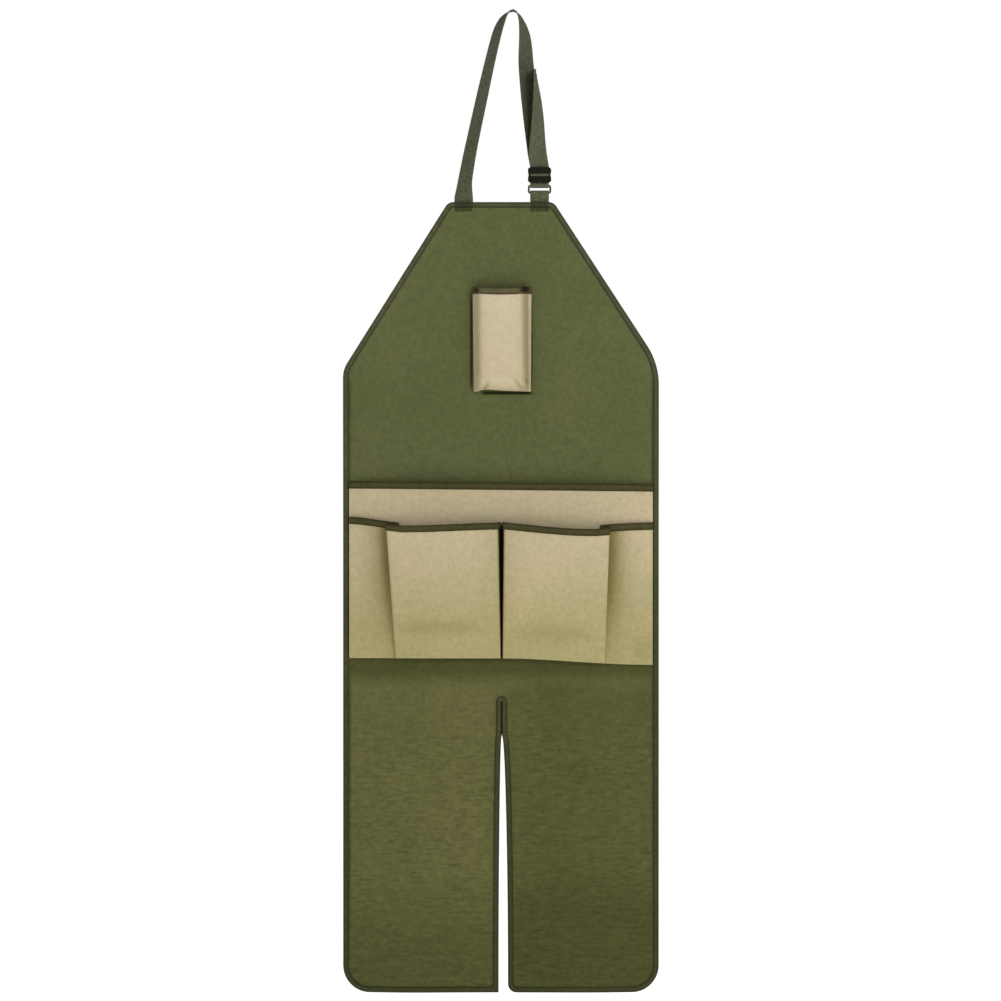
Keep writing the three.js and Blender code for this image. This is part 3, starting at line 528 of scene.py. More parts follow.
class ShaderEffects:
    """Node groups that the finishes share, each written on first use."""

    @staticmethod
    @cache
    def woven_threads() -> Group:
        """Plain weave: threads that pass over and under each other, with a little slub."""
        inputs = {"Place": None, "Pitch": 0.001, "Slub": 0.3}
        sheet = GroupSheet("woven_threads", inputs, ["Height", "Shade"])
        place = sheet.given["Place"]
        wander = sheet.noise(place, scale=420.0, detail=2.0)
        shift = sheet.math("MULTIPLY", sheet.math("SUBTRACT", wander, 0.5), sheet.given["Slub"])
        scale = sheet.math("DIVIDE", 1.0, sheet.given["Pitch"])
        threads = sheet.add("ShaderNodeVectorMath", {0: place, "Scale": scale}, operation="SCALE")
        right, up, _ = sheet.parts(threads.outputs[0])
        across, along = (sheet.math("ADD", way, shift) for way in (right, up))
        cells = sheet.math("ADD", sheet.math("FLOOR", across), sheet.math("FLOOR", along))
        turn = sheet.math("MODULO", sheet.math("ABSOLUTE", cells), 2.0)
        crossing = {0: turn, 2: sheet.humps(across), 3: sheet.humps(along)}
        over = sheet.add("ShaderNodeMix", crossing, data_type="FLOAT").outputs[0]
        slub = sheet.noise(place, scale=900.0, detail=3.0)
        sheet.lead("Height", sheet.math("MULTIPLY_ADD", slub, 0.35, over))
        sheet.lead("Shade", sheet.math("MULTIPLY_ADD", slub, 0.5, sheet.math("MULTIPLY", over, 0.5)))
        return sheet.tree

    @staticmethod
    @cache
    def webbing_ribs() -> Group:
        """Webbing: fine cords along its length, crossed by ribs in a herringbone."""
        inputs = {"Place": None, "Pitch": 0.0016, "Slub": 0.2}
        sheet = GroupSheet("webbing_ribs", inputs, ["Height", "Shade"])
        place, pitch = sheet.given["Place"], sheet.given["Pitch"]
        wander = sheet.noise(place, scale=500.0, detail=2.0)
        shift = sheet.math("MULTIPLY", wander, sheet.given["Slub"])
        right, up, _ = sheet.parts(place)
        cord = sheet.math("ADD", sheet.math("DIVIDE", right, pitch), shift)
        rib = sheet.math("ADD", sheet.math("DIVIDE", up, pitch), sheet.math("PINGPONG", cord, 1.0))
        ribs = sheet.math("MULTIPLY", sheet.humps(rib), 0.7)
        height = sheet.math("MULTIPLY_ADD", sheet.humps(cord), 0.6, ribs)
        sheet.lead("Height", height)
        sheet.lead("Shade", sheet.math("MULTIPLY_ADD", wander, 0.4, sheet.math("MULTIPLY", height, 0.45)))
        return sheet.tree

    @staticmethod
    @cache
    def worn_patches() -> Group:
        """Slow, uneven fading with a finer mottle on it."""
        inputs = {"Place": None, "Patch Scale": 9.0, "Mottle Scale": 160.0}
        sheet = GroupSheet("worn_patches", inputs, ["Fade", "Mottle"])
        place = sheet.given["Place"]
        patch = sheet.noise(place, sheet.given["Patch Scale"], detail=4.0, roughness=0.6)
        mottle = sheet.noise(place, sheet.given["Mottle Scale"], detail=5.0, roughness=0.7)
        for label, noise in (("Fade", patch), ("Mottle", mottle)):
            sheet.lead(label, sheet.spread(noise, low=0.32, high=0.68))
        return sheet.tree

    @staticmethod
    @cache
    def cross_ripple() -> Group:
        """Fine ripples that lie across hanging cloth, stronger towards its lower end, with painted shade."""
        inputs = {"Place": None, "Start Height": -0.85, "Full Height": -1.0}
        sheet = GroupSheet("cross_ripple", inputs, ["Height", "Shade"])
        place = sheet.given["Place"]
        squeezed = sheet.add("ShaderNodeMapping", {"Vector": place, "Scale": (70.0, 70.0, 250.0)})
        noise = sheet.noise(squeezed.outputs[0], scale=1.0, detail=3.0, roughness=0.55)
        ends = (sheet.given["Start Height"], sheet.given["Full Height"])
        mask = sheet.spread(sheet.parts(place)[2], *ends, soft=True)
        sheet.lead("Height", sheet.math("MULTIPLY", noise, mask))
        sheet.lead("Shade", sheet.math("MULTIPLY", sheet.math("SUBTRACT", noise, 0.5), mask))
        return sheet.tree

    @staticmethod
    @cache
    def painted_shade_patch() -> Group:
        """Mask of a painted shade: a rectangle with soft edges on a hanging piece, seen from its front."""
        inputs = {"Place": None, **dict.fromkeys(PATCH_SOCKETS, 0.01)}
        sheet = GroupSheet("painted_shade_patch", inputs, ["Mask"])
        right, _, up = sheet.parts(sheet.given["Place"])
        masks = []
        for way, labels in ((right, PATCH_SOCKETS[0::2]), (up, PATCH_SOCKETS[1::2])):
            centre, half, softness = (sheet.given[label] for label in labels)
            away = sheet.math("ABSOLUTE", sheet.math("SUBTRACT", way, centre))
            beyond = sheet.math("DIVIDE", sheet.math("SUBTRACT", away, half), softness)
            masks.append(sheet.spread(beyond, low=0.0, high=1.0, start=1.0, end=0.0, soft=True))
        sheet.lead("Mask", sheet.math("MULTIPLY", *masks))
        return sheet.tree

    @staticmethod
    @cache
    def painted_shade_steps() -> Group:
        """Shares of the soft and of the darkest colour of painted shade."""
        sheet = GroupSheet("painted_shade_steps", {"Amount": 0.0}, ["Soft Shade", "Darkest Shade"])
        for label, low, high in (("Soft Shade", 0.0, 0.5), ("Darkest Shade", 0.5, 1.0)):
            sheet.lead(label, sheet.spread(sheet.given["Amount"], low, high))
        return sheet.tree


def linear(rgb: Colour) -> tuple[float, float, float, float]:
    """Linear colour with alpha from display values of 0 to 255."""
    channels = [value / 255 for value in rgb]
    return (*[c / 12.92 if c <= 0.04045 else ((c + 0.055) / 1.055) ** 2.4 for c in channels], 1.0)


@dataclass(frozen=True)
class SoftPatch:
    """Soft shade on a piece: its middle, half sizes and softness in metres, and its strength."""

    centre: Place
    half: Place
    softness: Place
    strength: float

    def mask(self, sheet: NodeSheet, place: Socket) -> Socket:
        """Place this patch in a material and return its mask, 1 in its middle."""
        sizes = zip(PATCH_SOCKETS, (*self.centre, *self.half, *self.softness))
        return sheet.group(ShaderEffects.painted_shade_patch(), {"Place": place, **dict(sizes)})["Mask"]


@dataclass(frozen=True)
class Finish:
    """Finish of one cloth, thread, metal or plastic.

    Colours are display values of 0 to 255. The upper colour goes over into the lower one, where
    there is one, between the two heights of turn, in metres. Two more colours are painted shade:
    the soft one in folds and soft shadows, and the darkest one in narrow gaps and strong shadows.
    """

    name: str
    slot: str
    weave: Weave
    upper: Colour
    lower: Colour | None = None
    turn: Place = (-0.85, -1.3)
    pitch: float = 0.0011
    relief: float = 0.00022
    contrast: float = 0.34
    fade: float = 0.16
    fade_of_channels: Colour = (0.9, 0.5, 0.8)
    roughness: float = 0.9
    sheen: float = 0.02
    sheen_roughness: float = 0.6
    specular: float = 0.08
    ripple: float = 0.0
    ripple_shade: float = 0.9
    grain: float = 0.12
    mottle: float = 160.0
    # Colours of painted shade: the soft one for folds and shadows, the darkest one for narrow gaps and strong
    # shadows
    soft_shade: Colour = (44, 44, 22)
    darkest_shade: Colour = (18, 16, 8)
    shades: tuple[SoftPatch, ...] = ()

    def material(self) -> bpy.types.Material:
        """Material of this finish, made on first use."""
        label = f"{self.name}_finish"
        known = bpy.data.materials.get(label)
        if known:
            return known
        material = bpy.data.materials.new(label)
        material.use_nodes = True
        material["slot"] = self.slot
        sheet = NodeSheet(material.node_tree)
        place = sheet.add("ShaderNodeTexCoord").outputs["Object"]
        patches = {"Place": place, "Mottle Scale": self.mottle}
        fade, mottle = sheet.group(ShaderEffects.worn_patches(), patches)
        relief, shade = (mottle, mottle) if self.weave is Weave.MOULDED else self.threads(sheet)
        grain = sheet.math("MULTIPLY_ADD", mottle, self.grain, 1 - self.grain / 2)
        tone = sheet.spread(shade, 0.1, 0.8, 1 - self.contrast / 2, 1 + self.contrast / 2)
        tone = sheet.math("MULTIPLY", tone, grain)
        normal = {"Strength": 0.9, "Distance": self.relief, "Height": relief}
        normal = sheet.add("ShaderNodeBump", normal).outputs[0]
        if self.ripple:
            # Painted shade of the ripples: the colour is lighter on their crests and darker in their troughs
            height, ripple_shading = sheet.group(ShaderEffects.cross_ripple(), {"Place": place})
            ripple_shading = sheet.math("MULTIPLY_ADD", ripple_shading, self.ripple_shade, 1.0)
            tone = sheet.math("MULTIPLY", tone, ripple_shading)
            waves = {"Strength": 1.0, "Distance": self.ripple, "Height": height, "Normal": normal}
            normal = sheet.add("ShaderNodeBump", waves).outputs[0]
        tones = sheet.add("ShaderNodeCombineColor", {0: tone, 1: tone, 2: tone}).outputs[0]
        colour = sheet.mix(1.0, self.colour(sheet, place, fade), tones, "MULTIPLY")
        rough = sheet.spread(shade, 0.0, 1.0, self.roughness + 0.05, self.roughness - 0.08)
        surface = material.node_tree.nodes["Principled BSDF"].inputs
        for key, socket in (("Base Color", colour), ("Roughness", rough), ("Normal", normal)):
            sheet.tree.links.new(socket, surface[key])
        surface["Sheen Weight"].default_value = self.sheen
        surface["Sheen Roughness"].default_value = self.sheen_roughness
        surface["Specular IOR Level"].default_value = self.specular
        return material

    def colour(self, sheet: NodeSheet, place: Socket, fade: Socket) -> Socket:
        """Colour without the threads.

        Args:
            sheet: Sheet of the material that the nodes go on.
            place: Object coordinates.
            fade: How worn each spot is.

        Returns:
            The colour with its worn patches and its painted shade in folds, gaps and shadows.
        """
        turn = sheet.spread(sheet.parts(place)[2], *self.turn, soft=True)
        colour = sheet.mix(turn, linear(self.upper), linear(self.lower or self.upper))
        worn, fresh = (
            (*(1 + way * self.fade * share for share in self.fade_of_channels), 1.0)
            for way in (-1, 1)
        )
        colour = sheet.mix(1.0, colour, sheet.mix(fade, worn, fresh), "MULTIPLY")
        # Painted shade: mix towards the soft and then the darkest shade colour where the piece's attribute
        # and the soft shades call for it
        amount = {"Amount": self.painted_shade(sheet, place)}
        soft_shade, darkest_shade = sheet.group(ShaderEffects.painted_shade_steps(), amount)
        return sheet.mix(darkest_shade, sheet.mix(soft_shade, colour, linear(self.soft_shade)), linear(self.darkest_shade))

    def painted_shade(self, sheet: NodeSheet, place: Socket) -> Socket:
        """How much painted shade each spot takes.

        Args:
            sheet: Sheet of the material that the nodes go on.
            place: Object coordinates.

        Returns:
            The larger of the piece's own painted shade attribute and this finish's soft painted shades,
            which lie on the front side only.
        """
        own = sheet.add("ShaderNodeAttribute", attribute_name=PAINTED_SHADE, attribute_type="GEOMETRY")
        amount = own.outputs["Fac"]
        fore = sheet.spread(amount, UNSHADED, 0.0) if self.shades else None
        for shade in self.shades:
            strength = sheet.math("MULTIPLY", fore, shade.strength)
            shaded = sheet.math("MULTIPLY", shade.mask(sheet, place), strength)
            amount = sheet.math("MAXIMUM", amount, shaded)
        return amount

    def threads(self, sheet: NodeSheet) -> Outputs:
        """Height and shade of the threads, laid on the piece's own UV map."""
        place = sheet.add("ShaderNodeUVMap", uv_map=CLOTH_UV).outputs[0]
        webbing = self.weave is Weave.WEBBING
        tree = ShaderEffects.webbing_ribs() if webbing else ShaderEffects.woven_threads()
        return sheet.group(tree, {"Place": place, "Pitch": self.pitch})


# Soft shades: middle, half sizes, softness at the sides and the ends, strength
CANVAS_SHADES = table(
    SoftPatch,
    ((-0.0554, -0.4400), (0.0002, 0.0450), (0.0028, 0.0300), 0.72),
    ((0.0246, -0.4450), (0.0002, 0.0450), (0.0024, 0.0300), 0.50),
    ((-0.0080, -0.5076), (0.0280, 0.0004), (0.0100, 0.0036), 0.90),
    ((-0.0150, -0.4400), (0.0330, 0.0600), (0.0250, 0.0250), 0.14),
    ((-0.0160, -0.5900), (0.2000, 0.0400), (0.0500, 0.1000), 0.04),
    ((-0.2182, -0.8800), (0.0010, 0.3700), (0.0034, 0.0400), 0.30),
    ((0.1862, -0.8800), (0.0010, 0.3700), (0.0034, 0.0400), 0.30),
    ((-0.0160, -1.2962), (0.1900, 0.0006), (0.0200, 0.0032), 0.30),
    ((-0.0160, -0.8640), (0.2000, 0.0080), (0.0500, 0.0300), 0.32),
    ((0.0950, -1.1400), (0.0900, 0.2200), (0.0500, 0.0600), 0.16),
    ((0.1000, -1.2700), (0.0800, 0.0600), (0.0700, 0.1500), 0.30),
    ((-0.1160, -1.3000), (0.1000, 0.0300), (0.0700, 0.1600), 0.22),
    ((0.0500, -0.9400), (0.0060, 0.0300), (0.0400, 0.0600), 0.20),
)
SLIT_SHADES = table(SoftPatch, ((-0.0150, -0.9395), (0.0003, 0.0205), (0.0014, 0.0030), 1.0))
MOUTH_SHADES = table(
    SoftPatch,
    ((0.0160, -0.3700), (0.0005, 0.0005), (0.0110, 0.0090), 0.62),
    ((-0.0490, -0.3725), (0.0005, 0.0005), (0.0080, 0.0090), 0.42),
)
CREASE_SHADES = table(
    SoftPatch,
    ((-0.0980, -0.8175), (0.0260, 0.0005), (0.0480, 0.0170), 0.15),
    ((0.0520, -0.8260), (0.0220, 0.0005), (0.0520, 0.0200), 0.11),
    ((0.1720, -0.8480), (0.0020, 0.0020), (0.0240, 0.0240), 0.14),
)
GAP_SHADES = table(SoftPatch, ((-0.0155, -0.7720), (0.0034, 0.0850), (0.0024, 0.0060), 1.0))
# The finishes' two shade colours are painted shade in folds, gaps and shadows
CANVAS_OLIVE = Finish(
    name="olive_canvas",
    slot="olive_canvas",
    weave=Weave.CANVAS,
    upper=(90, 94, 58),
    lower=(94, 94, 55),
    turn=(-0.7, -0.95),
    ripple=0.0024,
    grain=0.30,
    fade=0.10,
    soft_shade=(54, 58, 24),
    shades=CANVAS_SHADES,
)
TAPE_OLIVE = Finish(
    name="olive_tape",
    slot="olive_tape",
    weave=Weave.TAPE,
    upper=(77, 78, 54),
    lower=(61, 63, 37),
    turn=(-0.3, -1.2),
    pitch=0.0009,
    grain=0.35,
    soft_shade=(36, 37, 18),
    shades=SLIT_SHADES,
)
POCKET_TAPE = Finish(
    name="pocket_tape",
    slot="olive_tape",
    weave=Weave.TAPE,
    upper=(70, 67, 38),
    pitch=0.0009,
    grain=0.4,
    soft_shade=(34, 28, 12),
    shades=MOUTH_SHADES,
)
PHONE_TAPE = replace(POCKET_TAPE, name="phone_tape", upper=(92, 87, 58))
POCKET_TAN = Finish(
    name="tan_canvas",
    slot="pocket_canvas",
    weave=Weave.CANVAS,
    upper=(188, 174, 139),
    lower=(166, 155, 109),
    turn=(-0.69, -0.845),
    fade=0.06,
    contrast=0.26,
    grain=0.2,
    soft_shade=(126, 115, 66),
    darkest_shade=(24, 19, 8),
    shades=CREASE_SHADES,
)
# Tool pocket canvas, a copy that carries the painted shadow in the gap between the front pockets
TOOL_TAN = replace(POCKET_TAN, name="rear_tan_canvas", upper=(185, 171, 138), shades=GAP_SHADES)
PHONE_TAN = Finish(
    name="light_tan_canvas",
    slot="phone_pocket_canvas",
    weave=Weave.CANVAS,
    upper=(199, 185, 156),
    lower=(193, 179, 147),
    turn=(-0.38, -0.5),
    fade=0.06,
    contrast=0.24,
    grain=0.16,
    soft_shade=(132, 120, 78),
    darkest_shade=(30, 26, 12),
)
WEBBING_OLIVE = Finish(
    name="olive_webbing",
    slot="olive_webbing",
    weave=Weave.WEBBING,
    upper=(82, 85, 68),
    lower=(79, 82, 61),
    turn=(-0.05, -0.25),
    pitch=0.0026,
    relief=0.0005,
    contrast=0.75,
    grain=1.1,
    mottle=420.0,
    soft_shade=(46, 48, 30),
)
THREAD_OLIVE = Finish(
    name="olive_thread",
    slot="olive_tape",
    weave=Weave.THREAD,
    upper=(78, 78, 52),
    pitch=0.0004,
    relief=0.0001,
)
THREAD_DARK = replace(THREAD_OLIVE, name="dark_thread", upper=(46, 48, 29))
THREAD_TAN = replace(THREAD_OLIVE, name="tan_thread", slot="pocket_canvas", upper=(204, 192, 156))
SLIDER_BLACK = Finish(
    name="black_plastic",
    slot="slider_plastic",
    weave=Weave.MOULDED,
    upper=(20, 21, 10),
    relief=0.00003,
    contrast=0.1,
    roughness=0.55,
    sheen=0.0,
    specular=0.1,
)
RING_BLACK = replace(
    SLIDER_BLACK,
    name="ring_enamel",
    slot="ring_metal",
    upper=(50, 52, 38),
    contrast=0.2,
    roughness=0.45,
)


# Stitches


@dataclass
class StitchRuns:
    """Stitches laid along runs of points by Geometry Nodes."""

    name: str
    finish: Finish
    pitch: float = 0.0031
    length: float = 0.0023
    width: float = 0.00055
    seed: int = 7
    yaw: float = 0.09
    runs: list[tuple[Array, Array]] = field(default_factory=list)

    def add(self, points: Array, outward: Array | Sequence[float]) -> None:
        """Add a run of points on a surface, with one direction off it for all or one for each."""
        self.runs.append((points, np.broadcast_to(outward, points.shape)))

    def tree(self) -> bpy.types.GeometryNodeTree:
        """Node tree that turns lines into stitches, made on first use."""
        known = bpy.data.node_groups.get("stitches_on_lines")
        if known:
            return known
        tree = bpy.data.node_groups.new("stitches_on_lines", "GeometryNodeTree")
        tree.interface.new_socket("Geometry", in_out="OUTPUT", socket_type="NodeSocketGeometry")
        sockets = {"Geometry": "Geometry", "Pitch": "Float", "Stitch Length": "Float"}
        sockets |= {"Stitch Width": "Float", "Seed": "Int", "Yaw": "Float", "Thread": "Material"}
        for label, kind in sockets.items():
            tree.interface.new_socket(label, in_out="INPUT", socket_type=f"NodeSocket{kind}")
        sheet = NodeSheet(tree)
        given = tree.nodes.new("NodeGroupInput").outputs

        def result(kind: str, inputs: dict[str | int, object] | None = None, **settings: str) -> Socket:
            """Add a node and return its first output."""
            return sheet.add(kind, inputs, **settings).outputs[0]

        lines = result("GeometryNodeMeshToCurve", {"Mesh": given["Geometry"]})
        steps = {"Curve": lines, "Length": given["Pitch"]}
        spots = result("GeometryNodeResampleCurve", steps, mode="LENGTH")
        tangent = result("GeometryNodeInputTangent")
        outward = result("GeometryNodeInputNamedAttribute", {"Name": OUTWARD}, data_type="FLOAT_VECTOR")
        along = result("FunctionNodeAlignRotationToVector", {"Vector": tangent}, axis="X")
        lifted = {"Rotation": along, "Vector": outward}
        upright = result("FunctionNodeAlignRotationToVector", lifted, axis="Z", pivot_axis="X")
        least = sheet.math("MULTIPLY", given["Yaw"], -1.0)
        draw = {2: least, 3: given["Yaw"], "Seed": given["Seed"]}
        jitter = sheet.add("FunctionNodeRandomValue", draw, data_type="FLOAT").outputs[1]
        yaw = result("FunctionNodeAxisAngleToRotation", {0: (0.0, 0.0, 1.0), 1: jitter})
        rotation = result("FunctionNodeRotateRotation", {0: upright, 1: yaw}, rotation_space="LOCAL")
        bead = result("GeometryNodeMeshIcoSphere", {"Radius": 0.5, "Subdivisions": 1})
        width = given["Stitch Width"]
        size = result("ShaderNodeCombineXYZ", {0: given["Stitch Length"], 1: width, 2: width})
        beads = {"Points": spots, "Instance": bead, "Rotation": rotation, "Scale": size}
        real = result("GeometryNodeRealizeInstances", {0: result("GeometryNodeInstanceOnPoints", beads)})
        dressed = result("GeometryNodeSetMaterial", {"Geometry": real, "Material": given["Thread"]})
        sheet.add("NodeGroupOutput", {0: dressed})
        return tree

    def build(self) -> Piece:
        """Lay the stitches and turn them into a plain mesh piece.

        Returns:
            The piece.
        """
        points = np.vstack([run[0] for run in self.runs])
        starts = np.cumsum([0] + [len(run[0]) for run in self.runs])
        spans = zip(starts[:-1], starts[1:])
        edges = [(place, place + 1) for start, end in spans for place in range(start, end - 1)]
        mesh = bpy.data.meshes.new(self.name)
        mesh.from_pydata(points.tolist(), edges, [])
        outward = np.vstack([run[1] for run in self.runs]).astype(np.float32)
        directions = mesh.attributes.new(OUTWARD, "FLOAT_VECTOR", "POINT").data
        directions.foreach_set("vector", outward.ravel())
        lines = new_object(self.name, mesh)
        modifier = lines.modifiers.new("stitches", "NODES")
        modifier.node_group = self.tree()
        values = {"Pitch": self.pitch, "Stitch Length": self.length, "Stitch Width": self.width}
        values |= {"Seed": self.seed, "Yaw": self.yaw, "Thread": self.finish.material()}
        for item in modifier.node_group.interface.items_tree:
            if item.in_out == "INPUT" and item.name in values:
                modifier[item.identifier] = values[item.name]
        lines.update_tag()
        evaluated = lines.evaluated_get(bpy.context.evaluated_depsgraph_get())
        plain = bpy.data.meshes.new_from_object(evaluated)
        bpy.data.objects.remove(lines)
        bpy.data.meshes.remove(mesh)
        piece = piece_from_mesh(self.name, plain, self.finish.material(), 180)
        piece.data.name = self.name
        return piece


# Sizes that the sewn pieces share


@dataclass(frozen=True)
class Layers:
    """Thicknesses of the cloths and the clearance between sewn layers."""

    canvas: float = 0.0015
    pocket: float = 0.0013
    tape: float = 0.0010
    webbing: float = 0.0016
    webbing_width: float = 0.025
    clearance: float = 0.00035
    tape_seat: float = 0.4
    tape_pressed: float = 0.85

    @property
    def tape_inset(self) -> float:
        """How far the cloth's edge lies inside its folded tape."""
        return self.clearance + self.tape

    @property
    def tape_face(self) -> float:
        """How far a pressed tape's face stands off the cloth that it is sewn to."""
        return self.tape_seat * self.clearance + self.tape_pressed * self.tape

    @property
    def taped_stack(self) -> float:
        """Step from one pleat layer to the next under the mouth tape."""
        return self.pocket + 2 * (self.clearance + self.tape) + self.clearance

    @property
    def sewn_stack(self) -> float:
        """Step from one pleat layer to the next where they are sewn down."""
        return self.pocket + self.clearance

    @property
    def webbing_stack(self) -> float:
        """Step from one layer of webbing to the next."""
        return self.webbing + self.clearance


LAYERS = Layers()


@dataclass(frozen=True)
class Fold:
    """Soft fold down the cloth: shares of the panel's half width and height, and of fold_depth."""

    across: float
    half_width: float
    start: float
    full: float
    depth: float

    def at(self, across: Array, drop: Array) -> Array:
        """Depth of the fold at shares across and down the panel."""
        side = np.exp(-(((across - self.across) / self.half_width) ** 2))
        return self.depth * side * smoothstep(drop, self.start, self.full)


@dataclass(frozen=True)
class Wave:
    """Ripple that sways: its height, its length, and the sway's share, length and phase."""

    height: float
    length: float
    sway: float
    sway_length: float
    sway_phase: float = 0.0
    phase: float = 0.0

    def at(self, along: Array, across: Array) -> Array:
        """Height of the ripple at places along and across it."""
        sway = self.sway * np.sin(math.tau * across / self.sway_length + self.sway_phase)
        return self.height * np.sin(math.tau * (along / self.length + sway) + self.phase)


@dataclass(frozen=True)
class PanelForm:
    """Outline of the panel's cloth and the way it hangs."""

    centre: float = -0.016
    top: float = -0.254
    width: float = 0.420
    height: float = 1.050
    bib_width: float = 0.141
    bib_radius: float = 0.011
    left_shoulder: Place = (0.223, 0.036)
    right_shoulder: Place = (0.215, 0.095)
    hem_radius: float = 0.034
    tape_width: float = 0.0075
    slit_length: float = 0.386
    slit_shift: float = 0.001
    slit_gap: float = -0.0002
    slit_openings: Place = (0.0042, 0.0084)
    slit_closed: float = 0.045
    slit_parting: float = 0.45
    slit_radius: float = 0.010
    column_spread: float = 0.011
    side_fallback: float = 0.013
    fallback_length: float = 0.525
    leg_roll: float = 0.0045
    fold_depth: float = 0.004
    folds: tuple[Fold, ...] = table(
        Fold,
        (-0.66, 0.28, 0.60, 0.90, 0.8),
        (-0.28, 0.26, 0.62, 0.80, -0.7),
        (0.34, 0.28, 0.61, 0.88, -0.5),
        (0.74, 0.28, 0.60, 0.92, 0.7),
        (-0.45, 0.30, 0.10, 0.24, 0.35),
        (0.50, 0.28, 0.08, 0.22, 0.45),
    )
    pulls: tuple[Crease, ...] = table(
        Crease,
        (0.0011, (-0.0155, -0.913), (-0.070, -0.886), 0.006),
        (0.0007, (-0.012, -0.913), (0.040, -0.893), 0.006),
        (0.0008, (-0.083, -0.30), (-0.02, -0.37), 0.010),
        (0.0006, (0.048, -0.30), (0.0, -0.37), 0.010),
    )
    slow_ripple: Wave = Wave(0.00035, 0.083, 0.6, 0.31, phase=1.3)
    quick_ripple: Wave = Wave(0.00016, 0.029, 0.4, 0.17, sway_phase=0.7)
    quick_beat: float = 0.11
    quick_beat_phase: float = 2.0
    pucker_height: float = 0.0004
    pucker_reach: float = 0.012
    pucker_length: float = 0.019
    pucker_sway: float = 2.0
    pucker_sway_rate: float = 60.0
    pucker_drop: Place = (0.2, 0.3)
    ripple_drop: Place = (0.6, 0.85)
    point_spacing: float = 0.004
    corner_shares: tuple[float, ...] = (0.85, 0.6, 0.4, 0.25, 0.12, 0.04, 0.0)
    corner_room: float = 0.012
    corner_margin: float = 0.001

    @property
    def hem(self) -> float:
        """Height of the cloth's lower edge inside its tape."""
        return self.top - self.height + LAYERS.tape_inset

    @property
    def behind_bib(self) -> float:
        """Distance from the sewn webbing's middle to the cloth's middle."""
        return LAYERS.canvas / 2 + 2 * LAYERS.clearance + LAYERS.tape + LAYERS.webbing / 2

    def creases(self, x: Array, z: Array) -> Array:
        """Small creases, ripples and puckers of worn canvas, forwards."""
        drop = (self.top - z) / self.height
        pull = sum(crease.at(x, z) for crease in self.pulls)
        beat = np.sin(math.tau * x / self.quick_beat + self.quick_beat_phase)
        ripple = self.slow_ripple.at(z, x) + self.quick_ripple.at(z, x) * beat
        from_side = self.width / 2 - np.abs(x - self.centre)
        near = self.pucker_height * np.exp(-np.abs(from_side) / self.pucker_reach)
        sway = self.pucker_sway * np.sin(z * self.pucker_sway_rate)
        pucker = near * np.sin(math.tau * z / self.pucker_length + sway)
        leg, shoulder = smoothstep(drop, *self.ripple_drop), smoothstep(drop, *self.pucker_drop)
        return pull + leg * ripple + pucker * shoulder

    def depth(self, x: Array, z: Array) -> Array:
        """Y of the middle of the panel's cloth at places x and heights z."""
        drop = (self.top - z) / self.height
        across = (x - self.centre) / (self.width / 2)
        bow = self.side_fallback * across**2 * smoothstep(self.top - z, 0, self.fallback_length)
        crown = 1 - (2 * np.abs(across) - 1) ** 2
        roll = self.leg_roll * crown * smoothstep(drop, 1 - self.slit_length / self.height, 1)
        fold = sum(fold.at(across, drop) for fold in self.folds)
        return -self.behind_bib + bow - roll - self.fold_depth * fold - self.creases(x, z)

    def front(self, x: Array, z: Array) -> Array:
        """Y of the panel's front face."""
        return self.depth(x, z) - LAYERS.canvas / 2

    def side_outline(self, side: int) -> Array:
        """Edge of the cloth on one side, from the bib's top corner to the hem.

        Args:
            side: -1 for the left side and 1 for the right.

        Returns:
            Places and heights along the edge.
        """
        inset = LAYERS.tape_inset
        drop, radius = self.left_shoulder if side < 0 else self.right_shoulder
        edge = self.centre + side * (self.width / 2 - inset)
        corners = [
            (self.centre, self.top - inset, 0),
            (self.centre + side * (self.bib_width / 2 - inset), self.top - inset, self.bib_radius),
            (edge, self.top - drop, radius),
            (edge, self.hem, self.hem_radius),
            (self.centre, self.hem, 0),
        ]
        return rounded_line(corners)[1:-1]

    def slit_edge(self, side: int, z: Array) -> Array:
        """Edge of the cloth on one side of the slit at heights z; above it the lines spread."""
        below = self.hem + self.slit_length - z
        opening = self.slit_openings[0 if side < 0 else 1]
        parted = np.clip((below - self.slit_closed) / (self.slit_length - self.slit_closed), 0, 1)
        above = np.clip(-below / self.slit_length, 0, 1)
        spread = opening * np.sin(math.pi / 2 * parted) ** self.slit_parting + self.column_spread * above
        height = z - self.hem
        short = np.clip(self.slit_radius - height, 0, self.slit_radius) * (side > 0)
        corner = self.slit_radius - np.sqrt(self.slit_radius**2 - short**2)
        half = self.slit_gap / 2 + LAYERS.tape_inset + spread + corner
        return self.centre + self.slit_shift + side * half

    def slit_heights(self) -> Array:
        """Heights down the slit, closer near its round corner."""
        top = self.hem + self.slit_length
        straight = np.arange(top, self.hem + self.corner_room, -self.point_spacing)
        return np.concatenate([straight, self.hem + self.slit_radius * np.array(self.corner_shares)])

    def cloth_outline(self) -> Array:
        """Whole edge of the cloth, clockwise as its front is looked at."""
        left, right = self.side_outline(-1), self.side_outline(1)
        heights = self.slit_heights()
        right_slit = np.column_stack([self.slit_edge(1, heights), heights])
        left_slit = np.column_stack([self.slit_edge(-1, heights), heights])
        radius = (right_slit[0, 0] - left_slit[0, 0]) / 2
        angles = np.linspace(0, math.pi, 9)
        loop_x = left_slit[0, 0] + radius * (1 + np.cos(angles))
        loop = np.column_stack([loop_x, heights[0] + radius * (np.sin(angles) - 1)])
        keep = left_slit[1:, 1] > self.hem + self.tape_width
        corner = left_slit[-1:]
        past_corner = np.array([[corner[0, 0] - self.tape_width - self.corner_margin, self.hem]])

        def run(*parts: Array) -> Array:
            """Closely spaced points through some parts of the outline."""
            return spaced(np.vstack(parts), self.point_spacing)

